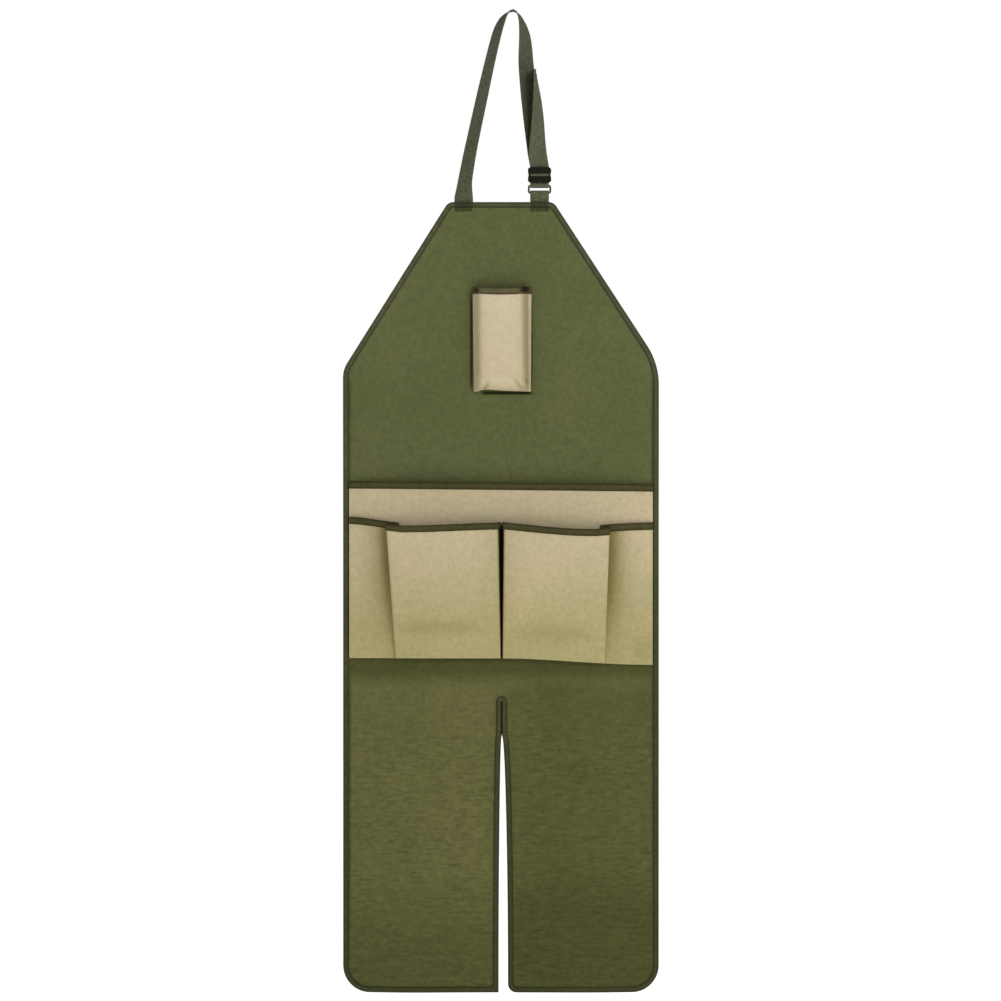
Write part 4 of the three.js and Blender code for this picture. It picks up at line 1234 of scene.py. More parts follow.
        return np.vstack(
            [
                run(right),
                run(right[-1:], right_slit[-1:])[1:-1],
                right_slit[1:][::-1],
                loop,
                left_slit[1:][keep],
                corner,
                run(past_corner, left[-1:], left[::-1][1:]),
                run(left[:1], right[:1])[1:-1],
            ]
        )


FORM = PanelForm()


@dataclass
class FoldedTape:
    """Tape folded over an edge of cloth, swept along stations of that edge."""

    name: str
    finish: Finish
    cloth: float
    width: float
    stitch_inset: float = 0.0016
    stitch_lift: float = 0.00012
    bends: int = 7
    flats: tuple[float, ...] = (1.0, 0.93, 0.6, 0.28, 0.0)
    swell: tuple[float, ...] = (-0.25, 0.0, 0.06, 0.03, 0.0)
    pucker_height: float = 0.00016
    pucker_length: float = 0.0124
    pucker_sway: float = 0.35
    pucker_sway_rate: float = 1.7
    flange_shade: tuple[float, ...] = (0.42, 0.30, 0.0, 0.0, 0.12)
    edge_shade: float = 0.34

    def profile(self) -> tuple[Array, Array]:
        """Outer and inner line of the fold.

        Returns:
            Two lists of points, each the way inwards from the cloth's edge and the way forwards.
        """
        gap, tape = LAYERS.clearance, LAYERS.tape
        inside = self.cloth / 2 + LAYERS.tape_seat * gap
        outside = inside + LAYERS.tape_pressed * tape
        bends = np.linspace(math.pi / 2, -math.pi / 2, self.bends)
        flats = np.array(self.flats) * (self.width - LAYERS.tape_inset)
        swell = np.array(self.swell) * tape

        def line(offset: float, out: float, lift: Array) -> Array:
            """One line of the fold at a distance from the cloth and beyond its edge."""
            over = [(-out * math.cos(bend), offset * math.sin(bend)) for bend in bends[1:-1]]
            forward = list(zip(flats, offset + lift))
            backward = [(inwards, -forwards) for inwards, forwards in reversed(forward)]
            return np.array(forward + over + backward)

        return line(outside, LAYERS.tape_inset, swell), line(inside, gap, 0 * swell)

    def build(
        self, at: Surface, stations: int, lengths: Array, loop: bool = False
    ) -> Piece:
        """Sweep the fold along the edge.

        Args:
            at: Gives the points for ways inwards and forwards, one row a station.
            stations: Number of stations.
            lengths: Length along the edge at each station, and at the end of a loop.
            loop: Whether the tape closes into a loop.

        Returns:
            The piece.
        """
        outer, inner = self.profile()
        phase = lengths[:stations, None] / self.pucker_length
        sway = self.pucker_sway * np.sin(phase * self.pucker_sway_rate)
        pucker = self.pucker_height * np.sin(math.tau * (phase + sway))
        weight = np.clip(outer[:, 0] / self.width, 0, 1)[None] * np.sign(outer[:, 1])[None]
        grids = [
            at(np.broadcast_to(line[:, 0], (stations, len(line))), line[:, 1][None] + pucker * share * weight)
            for line, share in ((outer, 1.0), (inner, 0.4))
        ]
        around = run_length(outer)
        uv = np.stack(np.broadcast_arrays(around[None], lengths[:, None]), axis=-1)
        # Painted shade on the tape: along its flanges beside the cloth and round its folded edge
        edge = [self.edge_shade] * (self.bends - 2)
        rim_shades = np.array([*self.flange_shade, *edge, *self.flange_shade[::-1]])
        rim_shades = np.broadcast_to(rim_shades, (stations, len(rim_shades)))
        mesh = cloth_wall(self.name, *grids, uv, loop=loop, painted_shade=rim_shades)
        return piece_from_mesh(self.name, mesh, self.finish.material(), 60)

    def stitch_lines(self, at: Surface, stations: int, loop: bool = False) -> list[Array]:
        """Lines for the stitches on the front and the back of the tape.

        Args:
            at: As in build.
            stations: Number of stations.
            loop: Whether the tape closes into a loop.

        Returns:
            One line of points for each side, the front one first.
        """
        inwards = self.width - LAYERS.tape_inset - self.stitch_inset
        face = self.cloth / 2 + LAYERS.tape_face + self.stitch_lift
        lines = []
        for side in (1, -1):
            line = at(np.full((stations, 1), inwards), np.full((stations, 1), side * face))[:, 0]
            lines.append(np.vstack([line, line[:1]]) if loop else line)
        return lines


# Panel


@dataclass
class ApronPanel:
    """Canvas panel in one piece with the tape round its whole edge."""

    leg_columns: int = 46
    row_spacing: float = 0.0046
    first_rows: Place = (0.0012, 0.0028)
    last_rows: tuple[float, ...] = (0.009, 0.006, 0.0035, 0.0015, 0.0)
    cloth_area: float = 0.405

    def rows(self) -> Array:
        """Heights of the rows of the cloth's grid."""
        top, slit = FORM.top - LAYERS.tape_inset, FORM.hem + FORM.slit_length
        upper = np.linspace(top, slit, math.ceil((top - slit) / self.row_spacing) + 1)
        steps = math.ceil(FORM.slit_length / self.row_spacing)
        lower = np.linspace(slit, FORM.hem + FORM.corner_room, steps + 1)
        first, last = top - np.array(self.first_rows), FORM.hem + np.array(self.last_rows)
        return np.unique(np.concatenate([upper, first, lower, last]))[::-1]

    def build_cloth(self) -> Piece:
        """Make the panel's cloth as a thin wall with the slit left open."""
        heights = self.rows()
        left, right = FORM.side_outline(-1), FORM.side_outline(1)
        share = np.linspace(0, 1, self.leg_columns + 1)[None]
        sides = [np.interp(-heights, -edge[:, 1], edge[:, 0])[:, None] for edge in (left, right)]
        slits = [FORM.slit_edge(side, heights)[:, None] for side in (-1, 1)]
        x = np.hstack([lerp(sides[0], slits[0], share), lerp(slits[1], sides[1], share)])
        z = np.broadcast_to(heights[:, None], x.shape)
        y = FORM.depth(x, z)
        half = LAYERS.canvas / 2
        front, back = (np.stack([x, y + side * half, z], axis=-1) for side in (-1, 1))
        slit = FORM.hem + FORM.slit_length + 1e-6

        def in_slit(row: int, column: int) -> bool:
            """Whether a cell of the grid lies in the slit."""
            return column == self.leg_columns and heights[row] <= slit

        mesh = cloth_wall("panel_cloth", front, back, np.stack([x, z], axis=-1), skip=in_slit)
        return piece_from_mesh("panel_cloth", mesh, CANVAS_OLIVE.material())

    def build_tape(self) -> tuple[Piece, Piece]:
        """Make the edge tape and its stitches."""
        outline = FORM.cloth_outline()
        before, after = np.roll(outline, 1, axis=0), np.roll(outline, -1, axis=0)

        def inward_of(start: Array, end: Array) -> Array:
            """Direction to the inside of the cloth along pieces of the outline."""
            step = end - start
            normal = np.column_stack([step[:, 1], -step[:, 0]])
            return normal / np.linalg.norm(normal, axis=1, keepdims=True)

        first, second = inward_of(before, outline), inward_of(outline, after)
        mitre = (first + second) / (1 + np.sum(first * second, axis=1, keepdims=True))

        def at(inwards: Array, forwards: Array) -> Array:
            """Points on the tape from ways inwards and forwards."""
            x = outline[:, :1] + mitre[:, :1] * inwards
            z = outline[:, 1:] + mitre[:, 1:] * inwards
            return np.stack([x, FORM.depth(x, z) - forwards, z], axis=-1)

        tape = FoldedTape("edge_tape", TAPE_OLIVE, LAYERS.canvas, FORM.tape_width)
        lengths = run_length(np.vstack([outline, outline[:1]]))
        piece = tape.build(at, len(outline), lengths, loop=True)
        stitches = StitchRuns("edge_tape_stitches", THREAD_OLIVE)
        for line, side in zip(tape.stitch_lines(at, len(outline), loop=True), (-1.0, 1.0)):
            stitches.add(line, (0.0, side, 0.0))
        return piece, stitches.build()

    def build(self) -> None:
        """Make the cloth, its tape and their stitches."""
        cloth = self.build_cloth()
        tape, stitches = self.build_tape()
        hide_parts("apron_panel")
        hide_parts("edge_binding")
        log.info("panel cloth with edge tape")


# Pockets


@dataclass(frozen=True)
class PocketLine:
    """One line of a pocket's profile from its mouth to its hem.

    Places are shares of the pocket's width, stand_off a share of its depth, and dip a share of
    its height. The layer counts the pleat layers underneath, and shade is the painted shade that
    the fold or gap at the line gets.
    """

    mouth: float
    hem: float
    stand_off: float
    layer: float
    dip: float
    shade: float = 0.0


@dataclass
class Pocket:
    """Pocket sewn on at its sides and its hem, with tape over its mouth."""

    name: str
    profile: Sequence[PocketLine]
    width: float
    left: float
    top: float
    hem: Callable[[Array], Array]
    depth: float
    closing: Callable[[Array], Array]
    finish: Finish
    flat: Place
    side: int = -1
    carrier: Surface = FORM.front
    rests_on: str = "apron_panel"
    creases: Surface = lambda x, z: 0 * x
    crease_shade: Surface = lambda x, z: 0 * x
    rows: int = 46
    row_crowding: float = 1.15
    spacing: float = 0.0022
    softening: int = 5
    tape_width: float = 0.0095
    shade_fades: float = 0.35
    shade_ends: float = 0.97
    shade_at_hem: float = 0.25
    narrow_shade: float = 0.6
    crease_ends: float = 0.06
    tape_finish: Finish = POCKET_TAPE

    def column(self, key: str) -> Array:
        """One value of each line of the profile."""
        return np.array([getattr(line, key) for line in self.profile])

    def reach(self) -> Array:
        """Heights of the cloth's mouth edge at each line of the profile."""
        height = self.top - float(self.hem(self.left))
        return self.top - LAYERS.tape_inset - self.column("dip") * height

    def taped(self) -> float:
        """Share of the pocket's height that the mouth tape covers."""
        return (self.tape_width - LAYERS.tape_inset) / (self.reach()[0] - float(self.hem(self.left)))

    def blend(self, softening: int) -> Array:
        """Weights that turn the lines of the profile into close columns.

        Args:
            softening: Times that the columns are smoothed.

        Returns:
            Weights of the lines, one row a column.
        """
        mouth, stand, layer = (self.column(key) for key in ("mouth", "stand_off", "layer"))
        depths = self.depth * stand + LAYERS.taped_stack * layer
        steps = np.hypot(np.diff(mouth * self.width), np.diff(depths))
        rows: list[Array] = []
        count = len(self.profile)
        for index, step in enumerate(steps):
            pieces = max(2, math.ceil(step / self.spacing))
            for piece in range(pieces):
                weights = np.zeros(count)
                weights[index], weights[index + 1] = 1 - piece / pieces, piece / pieces
                rows.append(weights)
        rows.append(np.eye(count)[-1])
        blend = np.array(rows)
        for _ in range(softening):
            blend[1:-1] = (blend[:-2] + 2 * blend[1:-1] + blend[2:]) / 4
        return blend

    def levels(self) -> Array:
        """Shares of the height at which the pocket's rows lie."""
        taped = self.taped()
        below = 1 - (1 - np.linspace(0, 1, self.rows + 1)) ** self.row_crowding
        return np.concatenate([[0.0, taped / 2], taped + (1 - taped) * below])

    def surface(self, levels: Array) -> tuple[Array, Array, Array]:
        """Middle of the pocket's cloth.

        Args:
            levels: Shares of the height, 0 at the mouth and 1 at the hem.

        Returns:
            Places across, heights, and distances off what carries the pocket, one row a level.
        """
        level = levels[:, None]
        keys = ("mouth", "hem", "stand_off", "layer")
        mouth, hem, stand, layer = (self.column(key)[None] for key in keys)
        taped = self.taped()
        share = lerp(mouth, hem, level)
        x = self.left + self.width * (1 - share if self.side > 0 else share)
        z = lerp(self.reach()[None], self.hem(x), level)
        opened = self.closing(level)
        untaped = smoothstep(level, taped, 3 * taped)
        seat = lerp(LAYERS.taped_stack, LAYERS.sewn_stack, untaped) / 2 + LAYERS.clearance / 2
        pleat = layer * lerp(LAYERS.sewn_stack, LAYERS.taped_stack, smoothstep(opened, 0, 0.9))
        off = seat + pleat + self.depth * stand * opened
        blend = self.blend(self.softening).T
        x, z, off = x @ blend, z @ blend, off @ blend
        if self.side > 0:
            x, z, off = x[:, ::-1], z[:, ::-1], off[:, ::-1]
        settle = smoothstep(level, 0, taped) * smoothstep(1 - level, 0, self.crease_ends)
        return x, z, off + self.creases(x, z) * settle

    def painted_shade(self, levels: Array) -> Array:
        """Painted shade of each point of the pocket in its folds and gaps, one row a level."""
        shades = self.blend(1) @ self.column("shade")
        if self.side > 0:
            shades = shades[::-1]
        faded = smoothstep(levels, self.shade_fades, self.shade_ends)[:, None]
        fading = lerp(1.0, self.shade_at_hem, faded)
        return np.where(shades > self.narrow_shade, shades, shades * fading)

    @staticmethod
    def normals(x: Array, off: Array) -> tuple[Array, Array]:
        """Direction off the cloth's face at each point of its rows."""
        run, rise = np.gradient(x, axis=1), np.gradient(off, axis=1)
        length = np.hypot(run, rise)
        return -rise / length, run / length

    def placed(
        self, x: Array, z: Array, off: Array, aside: tuple[Array, Array], offset: Array | float
    ) -> Array:
        """Points at an offset from the middle of the cloth."""
        y = self.carrier(x, z) - off - aside[1] * offset
        return np.stack([x + aside[0] * offset, y, z], axis=-1)

    def build(self) -> None:
        """Make the pocket, its mouth tape and their stitches."""
        x, z, off = self.surface(self.levels())
        aside = self.normals(x, off)
        half = LAYERS.pocket / 2
        front, back = (self.placed(x, z, off, aside, offset) for offset in (half, -half))
        along = run_length(np.column_stack([x[0], off[0]]))
        uv = np.stack([np.broadcast_to(along[None], x.shape), z], axis=-1)
        painted_shade = np.maximum(self.painted_shade(self.levels()), self.crease_shade(front[..., 0], front[..., 2]))
        mesh = cloth_wall(f"{self.name}_cloth", front, back, uv, painted_shade=painted_shade)
        cloth = piece_from_mesh(f"{self.name}_cloth", mesh, self.finish.material())
        tape, stitches = self.build_tape()
        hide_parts(self.name)
        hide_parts(f"{self.name}_binding")
        log.info("%s with mouth tape", self.name)

    def build_tape(self) -> tuple[Piece, Piece]:
        """Make the tape over the mouth and its stitches."""
        x, z, off = self.surface(np.array([0.0, self.taped()]))
        aside = self.normals(x, off)
        reach = self.tape_width - LAYERS.tape_inset
        columns = x.shape[1]

        def at(inwards: Array, forwards: Array) -> Array:
            """Points on the tape from ways down from the mouth and forwards."""
            share = np.clip(inwards / reach, 0, 1)
            ends = ((part[0][:, None], part[1][:, None]) for part in (x, z, off, *aside))
            place, height, away, *turned = (lerp(start, end, share) for start, end in ends)
            points = self.placed(place, height, away, turned, forwards)
            points[..., 2] -= np.minimum(inwards, 0)
            return points

        tape = FoldedTape(f"{self.name}_tape", self.tape_finish, LAYERS.pocket, self.tape_width)
        lengths = run_length(np.column_stack([x[0], off[0]]))
        piece = tape.build(at, columns, lengths)
        outward = np.stack([aside[0][1], -aside[1][1], np.zeros(columns)], axis=-1)
        stitches = StitchRuns(f"{self.name}_tape_stitches", THREAD_OLIVE)
        for line, sense in zip(tape.stitch_lines(at, columns), (1.0, -1.0)):
            stitches.add(line[1:-1], outward[1:-1] * sense)
        return piece, stitches.build()

    def front_line(self, above_hem: float, start: float, end: float, count: int = 160) -> Array:
        """Points along the front of the pocket at a height above its hem.

        Args:
            above_hem: Height above the hem.
            start: Place across where the line starts.
            end: Place across where it ends.
            count: Number of points.

        Returns:
            Points just proud of the foremost layer.
        """
        level = 1 - above_hem / (self.top - float(self.hem(self.left)))
        x, z, off = self.surface(np.array([level]))
        face = LAYERS.pocket / 2 + FACE_LIFT
        points = self.placed(x, z, off, self.normals(x, off), face)[0]
        result = []
        for place in np.linspace(start, end, count):
            best: Array | None = None
            for first, second in zip(points[:-1], points[1:]):
                low, high = min(first[0], second[0]), max(first[0], second[0])
                if low <= place <= high and high > low:
                    found = lerp(first, second, (place - first[0]) / (second[0] - first[0]))
                    if best is None or found[1] < best[1]:
                        best = found
            if best is not None:
                result.append(best)
        return np.array(result)


# Profiles: place at the mouth and at the hem, stand-off, layer, dip, painted shade
PHONE_PROFILE = table(
    PocketLine,
    (0.00, 0.02, 0.00, 0, 0.000, 0.05),
    (0.04, 0.06, 0.55, 0, 0.000, 0.10),
    (0.08, 0.09, 0.84, 0, 0.000, 0.26),
    (0.11, 0.12, 0.96, 0, 0.000, 0.22),
    (0.16, 0.17, 1.00, 0, 0.002, 0.05),
    (0.28, 0.30, 1.06, 0, 0.006, 0.00),
    (0.47, 0.50, 1.10, 0, 0.010, 0.00),
    (0.66, 0.70, 1.06, 0, 0.006, 0.00),
    (0.80, 0.84, 0.99, 0, 0.002, 0.05),
    (0.86, 0.89, 0.88, 0, 0.000, 0.34),
    (0.93, 0.94, 0.52, 0, 0.000, 0.42),
    (0.96, 0.97, 0.30, 0, 0.000, 0.10),
    (1.00, 0.99, 0.00, 0, 0.000, 0.12),
)
LEFT_FRONT_PROFILE = table(
    PocketLine,
    (0.000, 0.000, 0.00, 0, 0.000, 0.06),
    (0.030, 0.030, 0.06, 0, 0.002, 0.00),
    (0.110, 0.130, 0.22, 0, 0.010, 0.12),
    (0.180, 0.215, 0.39, 0, 0.021, 0.26),
    (0.220, 0.260, 0.48, 0, 0.028, 0.46),
    (0.326, 0.380, 0.70, 0, 0.040, 0.58),
    (0.326, 0.380, 0.72, 1, 0.042, 0.58),
    (0.244, 0.306, 0.76, 1, 0.046, 0.50),
    (0.244, 0.306, 0.78, 2, 0.048, 0.05),
    (0.265, 0.326, 0.81, 2, 0.051, 0.00),
    (0.345, 0.405, 0.92, 2, 0.062),
    (0.500, 0.530, 1.00, 2, 0.060),
    (0.660, 0.690, 1.00, 2, 0.053),
    (0.820, 0.840, 0.92, 2, 0.046),
    (0.979, 0.996, 0.76, 2, 0.040, 0.10),
    (0.981, 0.9965, 0.68, 1.75, 0.040, 0.98),
    (0.993, 1.000, 0.00, 0, 0.036, 1.00),
)
RIGHT_FRONT_PROFILE = table(
    PocketLine,
    (0.000, 0.000, 0.00, 0, 0.040, 0.06),
    (0.030, 0.030, 0.05, 0, 0.041, 0.00),
    (0.115, 0.125, 0.20, 0, 0.044, 0.05),
    (0.180, 0.195, 0.32, 0, 0.047, 0.14),
    (0.235, 0.250, 0.42, 0, 0.050, 0.38),
    (0.270, 0.290, 0.49, 0, 0.052, 0.52),
    (0.350, 0.385, 0.62, 0, 0.058, 0.58),
    (0.350, 0.385, 0.64, 1, 0.062, 0.58),
    (0.289, 0.320, 0.68, 1, 0.074, 0.50),
    (0.289, 0.320, 0.72, 2, 0.078, 0.05),
    (0.305, 0.336, 0.75, 2, 0.080, 0.00),
    (0.380, 0.410, 0.90, 2, 0.086),
    (0.520, 0.550, 1.04, 2, 0.084),
    (0.680, 0.700, 1.04, 2, 0.072),
    (0.840, 0.850, 0.92, 2, 0.055),
    (0.989, 0.996, 0.72, 2, 0.038, 0.10),
    (0.9895, 0.9965, 0.64, 1.75, 0.038, 0.98),
    (0.993, 1.000, 0.00, 0, 0.036, 1.00),
)


@dataclass(frozen=True)
class FrontCrease:
    """Crease across a front pocket and the slack of its cloth, which make it stand off unevenly.

    The crease has a depth, a height, a slope, a half width, and places where it starts and ends.
    The slack has a height, a length, a phase, and the top and the drop of the part it takes up.
    """

    depth: float
    height: float
    slope: float
    width: float
    start: Place
    end: Place
    slack: float
    slack_length: float
    slack_phase: float
    slack_top: float
    slack_drop: float = 0.16

    def at(self, x: Array, z: Array) -> Array:
        """How far the cloth stands forwards at places x and heights z."""
        across = smoothstep(x, *self.start), 1 - smoothstep(x, *self.end)
        line = np.exp(-(((z - self.height + self.slope * x) / self.width) ** 2))
        slack = self.slack * np.sin(math.tau * x / self.slack_length + self.slack_phase)
        share = np.clip((self.slack_top - z) / self.slack_drop, 0, 1)
        return -self.depth * line * across[0] * across[1] + slack * np.sin(math.pi * share)


# Creases: depth, height, slope, half width, start, end; slack, its length, phase and top
LEFT_CREASE, RIGHT_CREASE = table(
    FrontCrease,
    (0.0016, -0.817, 0.00, 0.006, (-0.165, -0.135), (-0.06, -0.035), 0.0011, 0.14, 0.4, -0.69),
    (0.0009, -0.823, 0.03, 0.007, (-0.005, 0.020), (0.07, 0.110), 0.0012, 0.15, 2.4, -0.70),
)


@dataclass
class PocketSet:
    """Phone pocket on the bib, and the tool pocket with two front pockets across the waist."""

    hem_drop: float = 0.606
    hem_fall: float = 0.009
    phone_width: float = 0.077
    phone_height: float = 0.139
    phone_drop: float = 0.113
    phone_shift: float = 0.0015
    phone_depth: float = 0.014
    phone_toe: float = 0.019
    tool_drop: float = 0.371
    tool_tilt: float = 0.004
    tool_depth: float = 0.010
    tool_columns: int = 30
    front_drop: float = 0.418
    front_depth: float = 0.008
    front_divide: float = 0.0019
    front_closing: float = 2.4
    seam_inset: float = 0.002
    seam_heights: Place = (0.0028, 0.0072)
    phone_seam_insets: Place = (0.003, 0.0025)
    phone_seam_height: float = 0.0012
    slack: float = 0.0008
    slack_width: float = 0.024
    slack_top: float = -0.37
    slack_length: float = 0.13
    foot_wave: float = 0.0007
    foot_wave_length: float = 0.034
    foot_wave_phase: float = 0.6
    foot_wave_drop: Place = (0.475, 0.497)
    phone_ridges: tuple[Crease, ...] = table(
        Crease,
        (0.0034, (0.0195, -0.505), (0.0025, -0.482), 0.0026),
        (0.0022, (-0.0485, -0.505), (-0.036, -0.490), 0.0026),
    )
    phone_lifts: tuple[tuple[float, Place, Place], ...] = (
        (0.0026, (-0.047, -0.041), (-0.020, -0.012)),
        (0.0007, (-0.020, -0.012), (0.010, 0.016)),
    )
    phone_shades: tuple[Crease, ...] = table(
        Crease,
        (0.50, (0.0190, -0.497), (0.0160, -0.476), 0.0034),
        (0.40, (0.0215, -0.500), (0.0090, -0.482), 0.0022),
        (0.30, (0.0120, -0.504), (-0.0020, -0.484), 0.0022),
        (0.36, (-0.0395, -0.505), (-0.0280, -0.490), 0.0022),
    )

    @property
    def side(self) -> float:
        """Half the width across the waist pockets."""
        return FORM.width / 2 - FORM.tape_width - 2 * LAYERS.clearance

    def hem(self, x: Array) -> Array:
        """Height of the bottom seam of the waist pockets at places x."""
        rightward = (np.asarray(x) - FORM.centre) / (FORM.width / 2)
        return FORM.top - self.hem_drop - self.hem_fall * smoothstep(rightward, 0, 0.95)

    @staticmethod
    def tool_swell(share: Array) -> Array:
        """Share of the tool pocket's depth at shares of its width."""
        return 1 - (2 * share - 1) ** 4

    def tool_front(self, x: Array, z: Array) -> Array:
        """Y of the tool pocket's front face, which carries the front pockets."""
        top = FORM.top - self.tool_drop - LAYERS.tape_inset
        level = (top - z) / (top - self.hem(x))
        share = np.clip((x - FORM.centre + self.side) / (2 * self.side), 0, 1)
        swell = self.tool_depth * self.tool_swell(share) * (1 - np.clip(level, 0, 1) ** 2)
        return FORM.front(x, z) - LAYERS.clearance - LAYERS.pocket - swell

    def phone_creases(self, x: Array, z: Array) -> Array:
        """Creases over the phone pocket: ridges at its lower corners and a slack front."""
        ridges = sum(crease.at(x, z) for crease in self.phone_ridges)
        middle = np.exp(-(((x - FORM.centre) / self.slack_width) ** 2))
        slack = self.slack * middle * np.sin(math.tau * (z - self.slack_top) / self.slack_length)
        wave = self.foot_wave * np.sin(math.tau * x / self.foot_wave_length + self.foot_wave_phase)
        return ridges + slack + wave * smoothstep(-z, *self.foot_wave_drop)

    def phone_crease_shade(self, x: Array, z: Array) -> Array:
        """Shade beside the ridges at the phone pocket's lower corners."""
        lobe, right, left, foot = (crease.at(x, z) for crease in self.phone_shades)
        return np.maximum(lobe, right) + left + foot

    def phone_lift(self, x: Array) -> Array:
        """How far the phone pocket's bottom seam is drawn up between its corners."""
        lifts = (
            height * smoothstep(x, *start) * (1 - smoothstep(x, *end))
            for height, start, end in self.phone_lifts
        )
        return sum(lifts)

    def phone_closing(self, level: Array) -> Array:
        """Share of the phone pocket's depth at shares of its height, round at its toe."""
        past_toe = (1 - level) * self.phone_height / self.phone_toe
        return np.sqrt(1 - np.clip(1 - past_toe, 0, 1) ** 2)

    def phone_pocket(self) -> Pocket:
        """Bellows pocket on the bib."""
        top = FORM.top - self.phone_drop
        return Pocket(
            name="phone_pocket",
            profile=PHONE_PROFILE,
            width=self.phone_width,
            left=FORM.centre + self.phone_shift - self.phone_width / 2,
            top=top,
            hem=lambda x: top - self.phone_height + self.phone_lift(x),
            depth=self.phone_depth,
            closing=self.phone_closing,
            finish=PHONE_TAN,
            flat=(0.103, 0.139),
            creases=self.phone_creases,
            crease_shade=self.phone_crease_shade,
            tape_finish=PHONE_TAPE,
            rows=60,
            spacing=0.0014,
            softening=6,
            shade_fades=0.8,
            shade_at_hem=0.7,
        )

    def tool_pocket(self) -> Pocket:
        """Rear pocket across the waist."""
        shares = np.linspace(0, 1, self.tool_columns + 1)
        tilt = self.tool_tilt / (self.hem_drop - self.tool_drop)
        return Pocket(
            name="tool_pocket",
            profile=table(PocketLine, *((s, s, self.tool_swell(s), 0, tilt * s) for s in shares)),
            width=2 * self.side,
            left=FORM.centre - self.side,
            top=FORM.top - self.tool_drop,
            hem=self.hem,
            depth=self.tool_depth,
            closing=lambda level: 1 - level * level,
            finish=TOOL_TAN,
            flat=(0.405, 0.236),
            spacing=0.0035,
        )

    def front_pocket(self, side: int) -> Pocket:
        """Front pocket on one side of the waist.

        Args:
            side: -1 for the left pocket and 1 for the right.

        Returns:
            The pocket.
        """
        label = "left" if side < 0 else "right"
        inner = FORM.centre + FORM.slit_shift + side * self.front_divide / 2
        outer = FORM.centre + side * self.side
        return Pocket(
            name=f"{label}_front_pocket",
            profile=LEFT_FRONT_PROFILE if side < 0 else RIGHT_FRONT_PROFILE,
            width=abs(outer - inner),
            left=min(outer, inner),
            side=side,
            top=FORM.top - self.front_drop,
            hem=self.hem,
            depth=self.front_depth,
            closing=lambda level: 1 - level**self.front_closing,
            carrier=self.tool_front,
            finish=POCKET_TAN,
            flat=(0.245, 0.188),
            rests_on="tool_pocket",
            creases=(LEFT_CREASE if side < 0 else RIGHT_CREASE).at,
        )

    def build(self) -> None:
        """Make the four pockets and the seams that hold them."""
        phone = self.phone_pocket()
        phone.build()
        self.tool_pocket().build()
        seams = StitchRuns("pocket_seam_stitches", THREAD_TAN, pitch=0.0033, length=0.0025)
        for side in (-1, 1):
            pocket = self.front_pocket(side)
            pocket.build()
            start, end = pocket.left + self.seam_inset, pocket.left + pocket.width - self.seam_inset
            for above in self.seam_heights:
                seams.add(pocket.front_line(above, start, end), (0.0, -1.0, 0.0))
        near, far = self.phone_seam_insets
        left, right = phone.left + near, phone.left + phone.width - far
        seams.add(phone.front_line(self.phone_seam_height, left, right, 60), (0.0, -1.0, 0.0))
        seams.build()
        log.info("pocket seams")


# Strap


@dataclass(frozen=True)
class StrapRow:
    """One place of a run of the strap.

    rise is a share of the loop's height above the bib, reach a share of the way from the run's
    foot to the top of the loop, depth a share of the webbing's width, and facing the direction
    of one edge of the webbing in degrees round the vertical.
    """

    rise: float
    reach: float
    depth: float
    facing: float


# Runs: rise, reach, depth, facing
LEFT_RUN = table(
    StrapRow,
    (0.025, 0.000, 0.00, 10),
    (0.062, 0.010, 0.00, 30),
    (0.114, 0.030, 0.00, 41),
    (0.218, 0.100, 0.00, 46),
    (0.321, 0.180, 0.00, 49),
    (0.528, 0.354, 0.00, 52),
    (0.736, 0.535, 0.00, 57),
    (0.881, 0.677, 0.00, 60),
    (0.943, 0.768, 0.00, 66),
    (0.974, 0.842, 0.00, 75),
    (0.992, 0.916, 0.00, 84),
    (1.000, 1.000, 0.00, 90),
)
RIGHT_RUN = table(
    StrapRow,
    (0.992, 0.870, 0.00, 94),
    (0.974, 0.770, 0.00, 99),
    (0.943, 0.680, 0.01, 107),
    (0.902, 0.600, 0.02, 118),
    (0.839, 0.540, 0.04, 130),
    (0.736, 0.514, 0.06, 142),
    (0.632, 0.455, 0.08, 146),
    (0.528, 0.380, 0.10, 148),
    (0.425, 0.290, 0.11, 151),
    (0.321, 0.185, 0.13, 156),
    (0.255, 0.100, 0.13, 168),
    (0.215, 0.040, 0.12, 176),
)
TAIL_RUN = table(
    StrapRow,
    (0.215, 0.040, -0.04, 176),
    (0.255, 0.070, -0.05, 164),
    (0.321, 0.072, -0.06, 145),
    (0.425, 0.066, -0.08, 130),
    (0.528, 0.090, -0.12, 116),
    (0.620, 0.140, -0.20, 102),
    (0.690, 0.185, -0.30, 93),
)


